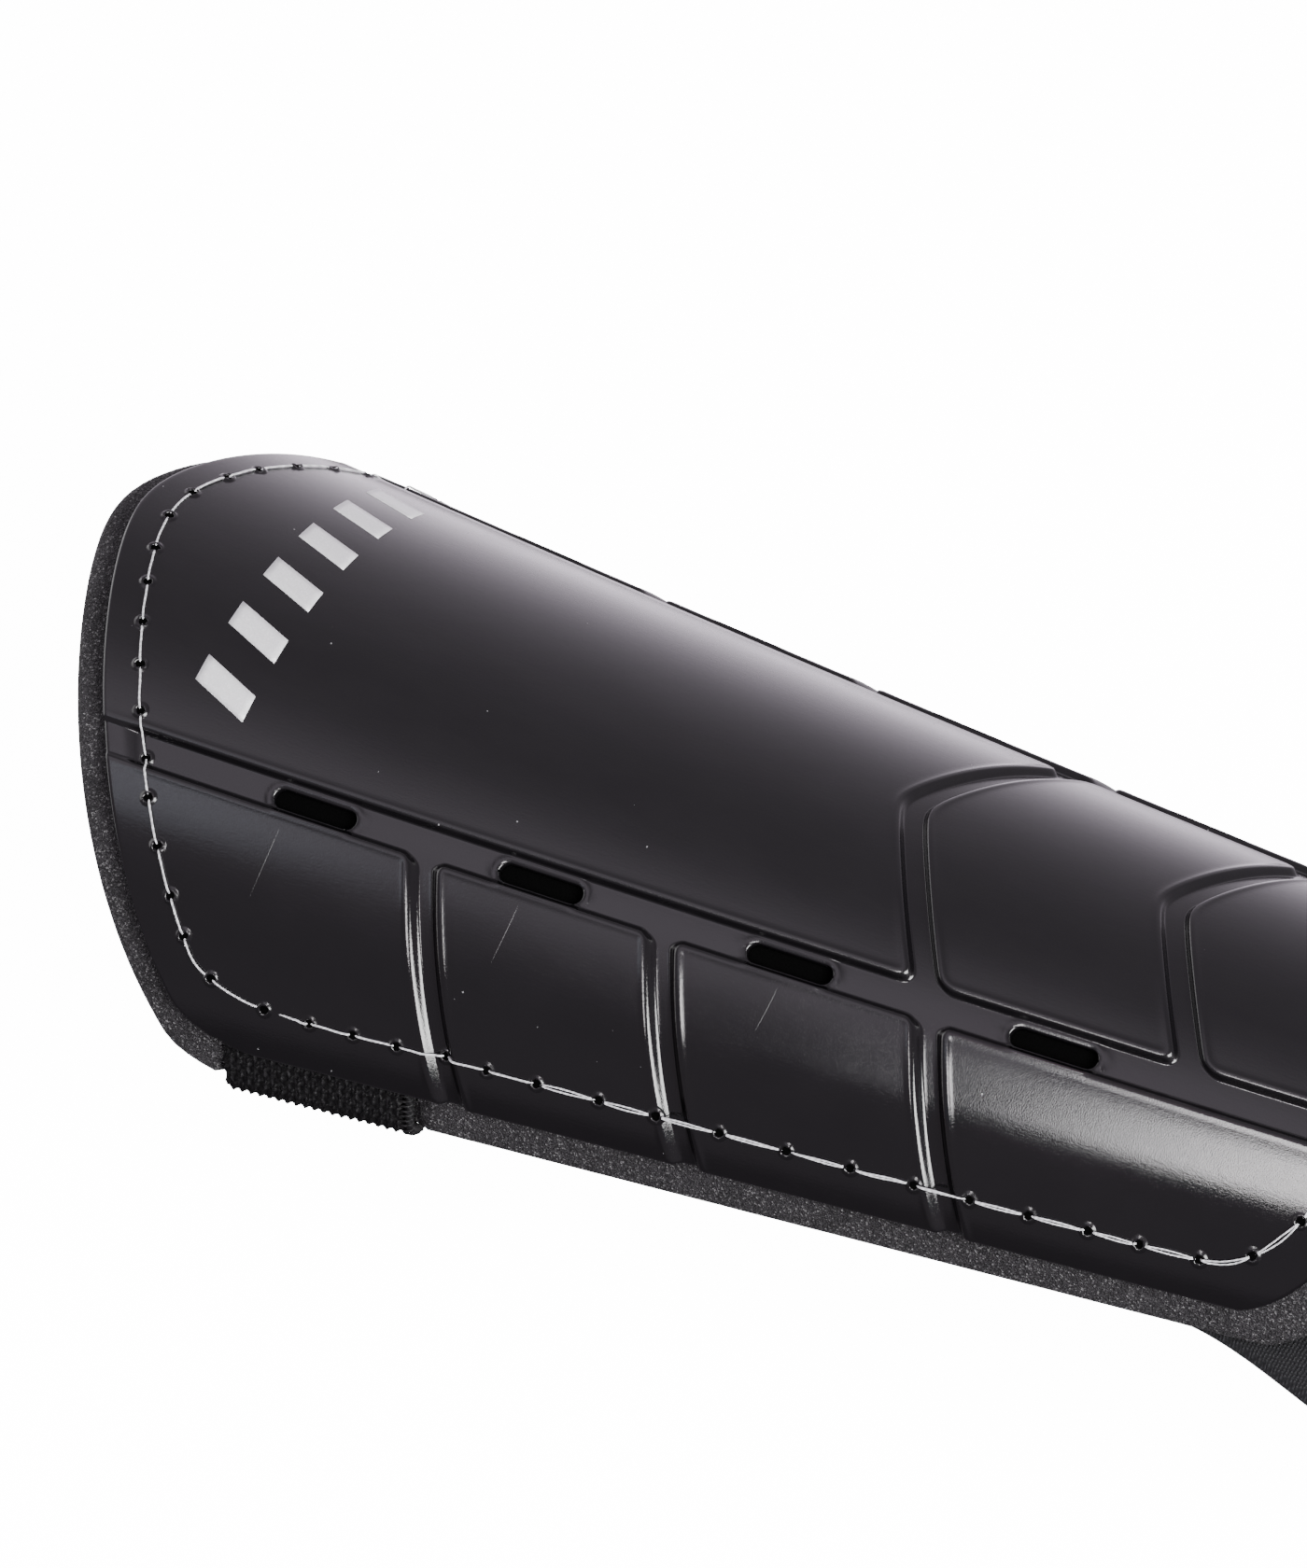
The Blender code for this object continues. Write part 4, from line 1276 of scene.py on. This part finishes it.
def build_pads(cover, edging):
    for side, word in ((-1, "near"), (1, "far")):
        f = np.array(PAD_RINGS)[:, None]
        turn = np.linspace(0, 2 * np.pi, 72, endpoint=False)
        x = PAD_X + PAD_R * f * np.cos(turn)
        y = side * PAD_Y + PAD_R * f * np.sin(turn)
        dome = PAD_RISE * np.sqrt(np.maximum(0, 1 - f**3))
        lift = 2.2 + 0.92 * dome - 0.35 * np.exp(-(((f - 0.8) / 0.03) ** 2))
        top = np.stack([x, y, sleeve_top(x, y) + lift], -1)
        low = np.stack([x, y, sleeve_top(x, y) + 0.75], -1)
        count = top.shape[0] * 72
        faces = [*grid_faces(12, 72, wrap=True), *grid_faces(12, 72, count, flip=True, wrap=True)]
        tips = [top[-1].mean(0), low[-1].mean(0)]
        points = np.concatenate([top.reshape(-1, 3), low.reshape(-1, 3), tips])
        last = 11 * 72
        for k in range(72):
            n = (k + 1) % 72
            faces.append((n, k, k + count, n + count))
            faces.append((last + k, last + n, 2 * count))
            faces.append((last + n + count, last + k + count, 2 * count + 1))
        pad = add_mesh(f"ankle_pad_{word}", points, faces, materials=[cover])
        group = pad.vertex_groups.new(name="pin")
        held = [i for i in range(len(points)) if i < 72 * 6 or (count <= i < 2 * count) or i == 2 * count + 1]
        group.add(held, 1.0, "REPLACE")
        inflate(pad, 1.5, 0.0012, 12)
        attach(pad, "guard")
        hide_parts(f"pad_cover_{word}", f"pad_foam_{word}")
        seam = Gather()
        angle = np.linspace(0, 2 * np.pi, 145)
        x = PAD_X + PAD_R * PAD_SEAM * np.cos(angle)
        y = side * PAD_Y + PAD_R * PAD_SEAM * np.sin(angle)
        lift = 2.28 + 0.92 * PAD_RISE * math.sqrt(1 - PAD_SEAM**3)
        path = np.stack([x, y, sleeve_top(x, y) + lift], -1)
        dashes(seam, path, np.tile([0, 0, 1.0], (len(path), 1)), 2.4, 0.7, 0.16)
        seam.make(f"pad_seam_{word}", "guard", materials=[edging])


# --- light, camera, floor ---

# Azimuth, elevation and roll in degrees, the point looked at, lens in millimetres and distance in metres.
CAMERA_ANGLES = (26.232, 38.006, 0.663)
CAMERA_LOOK = (38.643, -2.792, 39.072)
CAMERA_LENS = 132.286
CAMERA_DISTANCE = 0.850517


def add_camera():
    az, el, roll = (math.radians(v) for v in CAMERA_ANGLES)
    look = Vector(world(CAMERA_LOOK))
    back = Vector((math.sin(az) * math.cos(el), -math.cos(az) * math.cos(el), math.sin(el)))
    right = (-back).cross(Vector((0, 0, 1))).normalized()
    up = right.cross(-back)
    r2 = right * math.cos(roll) + up * math.sin(roll)
    u2 = up * math.cos(roll) - right * math.sin(roll)
    data = bpy.data.cameras.new("camera")
    data.lens = CAMERA_LENS
    data.sensor_width = 36.0
    data.clip_start = 0.01
    camera = bpy.data.objects.new("camera", data)
    place = Matrix((r2, u2, back)).transposed().to_4x4()
    place.translation = look + back * CAMERA_DISTANCE
    camera.matrix_world = place
    bpy.context.scene.collection.objects.link(camera)
    bpy.context.scene.camera = camera


def add_light(name, spot, aim, size, power, colour=(1, 1, 1)):
    data = bpy.data.lights.new(name, "AREA")
    data.shape = "RECTANGLE"
    data.size = size[0]
    data.size_y = size[1]
    data.energy = power
    data.color = colour
    light = bpy.data.objects.new(name, data)
    light.location = spot
    light.rotation_euler = (Vector(aim) - Vector(spot)).to_track_quat("-Z", "Y").to_euler()
    bpy.context.scene.collection.objects.link(light)
    return light


def add_sky():
    """Studio surroundings: a bright band low behind the guard, and a weaker one in front."""
    sky = bpy.data.worlds.new("studio")
    sky.use_nodes = True
    tree = sky.node_tree
    background = tree.nodes["Background"]

    def calc(operation, a, b=0.0):
        node = tree.nodes.new("ShaderNodeMath")
        node.operation = operation
        for socket, value in zip(node.inputs, (a, b)):
            if isinstance(value, bpy.types.NodeSocket):
                tree.links.new(value, socket)
            else:
                socket.default_value = value
        return node.outputs[0]

    direction = tree.nodes.new("ShaderNodeTexCoord").outputs["Generated"]

    def angle_from(azimuth, elevation):
        node = tree.nodes.new("ShaderNodeVectorMath")
        node.operation = "DOT_PRODUCT"
        az, el = math.radians(azimuth), math.radians(elevation)
        flat = math.cos(el)
        node.inputs[1].default_value = (math.sin(az) * flat, math.cos(az) * flat, math.sin(el))
        tree.links.new(direction, node.inputs[0])
        return calc("ARCCOSINE", node.outputs["Value"])

    split = tree.nodes.new("ShaderNodeSeparateXYZ")
    tree.links.new(direction, split.inputs[0])
    rise_up = tree.nodes.new("ShaderNodeMapRange")
    rise_up.interpolation_type = "SMOOTHSTEP"
    tree.links.new(split.outputs["Z"], rise_up.inputs["Value"])
    rise_up.inputs["From Min"].default_value = -0.33
    rise_up.inputs["From Max"].default_value = -0.24
    fade = calc("EXPONENT", calc("MULTIPLY", angle_from(-18, -11), -1 / math.radians(24)))
    glow = calc("MULTIPLY", calc("MULTIPLY", fade, 4.1), rise_up.outputs["Result"])
    front = calc("POWER", calc("DIVIDE", angle_from(-160, 62), math.radians(19)), 2.0)
    front = calc("MULTIPLY", calc("EXPONENT", calc("MULTIPLY", front, -1.0)), 1.15)
    base = calc("ADD", calc("MULTIPLY", rise_up.outputs["Result"], 0.18), 0.17)
    tree.links.new(calc("ADD", base, calc("ADD", glow, front)), background.inputs["Strength"])
    background.inputs["Color"].default_value = (1.0, 0.905, 1.03, 1.0)
    bpy.context.scene.world = sky


def bounce(x, degrees, eye):
    """Where the view from the eye is mirrored at a point of the skin, with that point, in metres."""
    phi = math.radians(degrees)
    spot = world(skin(x, phi))
    normal = surface_normal(np.array(float(x)), np.array(phi))
    view = np.array(eye) - spot
    view /= np.linalg.norm(view)
    return spot, 2 * np.dot(view, normal) * normal - view


def panel_light(name, eye, corners, distance, radiance, colour):
    """Softbox whose mirror image fills a patch of a side panel, between two (station, degrees) corners."""
    (x0, low), (x1, high) = corners
    spot, aim = bounce((x0 + x1) / 2, (low + high) / 2, eye)
    centre = spot + aim * distance
    up = np.array([0, 0, 1.0]) - aim * aim[2]
    up /= np.linalg.norm(up)
    across = np.cross(up, aim)
    reach = []
    for x, degrees in ((x0, low), (x0, high), (x1, low), (x1, high)):
        start, ray = bounce(x, degrees, eye)
        t = np.dot(centre - start, aim) / np.dot(ray, aim)
        hit = start + ray * t - centre
        reach.append((np.dot(hit, across), np.dot(hit, up)))
    reach = np.array(reach)
    sides = reach[:2].mean(0)[0], reach[2:].mean(0)[0]
    levels = reach[::2].mean(0)[1], reach[1::2].mean(0)[1]
    size = np.array([abs(sides[1] - sides[0]), abs(levels[1] - levels[0])])
    middle = np.array([sum(sides) / 2, sum(levels) / 2])
    centre = centre + across * middle[0] + up * middle[1]
    power = radiance * math.pi * size[0] * size[1]
    light = add_light(name, tuple(centre), tuple(centre - aim), tuple(size), power, colour)
    turn = Matrix((across, up, aim)).transposed().to_quaternion()
    light.matrix_world = Matrix.LocRotScale(Vector(centre), turn, None)


def add_stage():
    corners = [(x, y, FLOOR_Z) for x, y in ((-2500, -2500), (2500, -2500), (2500, 2500), (-2500, 2500))]
    floor = add_mesh("floor", corners, [(0, 1, 2, 3)], materials=[floor_material()])
    floor.visible_glossy = False
    floor.visible_diffuse = False
    floor.visible_shadow = False
    add_sky()
    eye = bpy.context.scene.camera.matrix_world.translation
    key = Vector((0.845, -0.528, 0.45))
    add_light("key_right", key, (0, 0, 0.02), (0.65, 0.6), 36)
    add_light("fill_left", (-1.1, 0.0, 0.25), (0, 0, 0.02), (1.2, 1.0), 8.0)
    panel_light("box_front", eye, ((134, 55), (190, 45)), 0.7, 24.0, (1.0, 0.97, 0.98))
    panel_light("box_mid", eye, ((104, 56), (134, 44)), 0.7, 1.2, (0.90, 0.93, 1.0))
    panel_light("box_left", eye, ((-60, 50), (-3, 43)), 0.7, 1.5, (0.80, 0.88, 1.0))


add_camera()
add_stage()
SHELL = shell_material()
# Dead black for the painted shade inside the vent slots and needle holes.
SHADE_BLACK = painted_shade_material()
WEB_DARK, WEB_SHEEN = (0.0012, 0.0011, 0.0013), (0.011, 0.010, 0.0115)
WEB = fabric_material("webbing_knit_black", WEB_DARK, WEB_SHEEN, 1.2, 0.5, 0.0, 0.6)
KNIT = fabric_material("sleeve_knit_black", (0.006, 0.006, 0.007), (0.026, 0.026, 0.029), 0.9, 0.0)
LINE = fabric_material("lining_knit_black", (0.008, 0.008, 0.009), (0.030, 0.030, 0.033), 0.8, 0.785)
EDGE = yarn_material("edging_yarn_black", (0.002, 0.0019, 0.0022), (0.010, 0.0095, 0.0105), 0.6)
build_shell(SHELL)
build_stitches(thread_material(), SHELL, SHADE_BLACK)
build_flow_lines(SHELL)
build_print(print_material())
build_vent_shade(SHADE_BLACK)
build_foam(foam_material())
build_lining(LINE)
HOOKS = yarn_material("hooks_black", (0.01, 0.01, 0.011), (0.03, 0.03, 0.032), 0.4)
build_straps(WEB, EDGE, HOOKS, EDGE)
build_sleeve(KNIT, EDGE)
build_pads(LINE, EDGE)
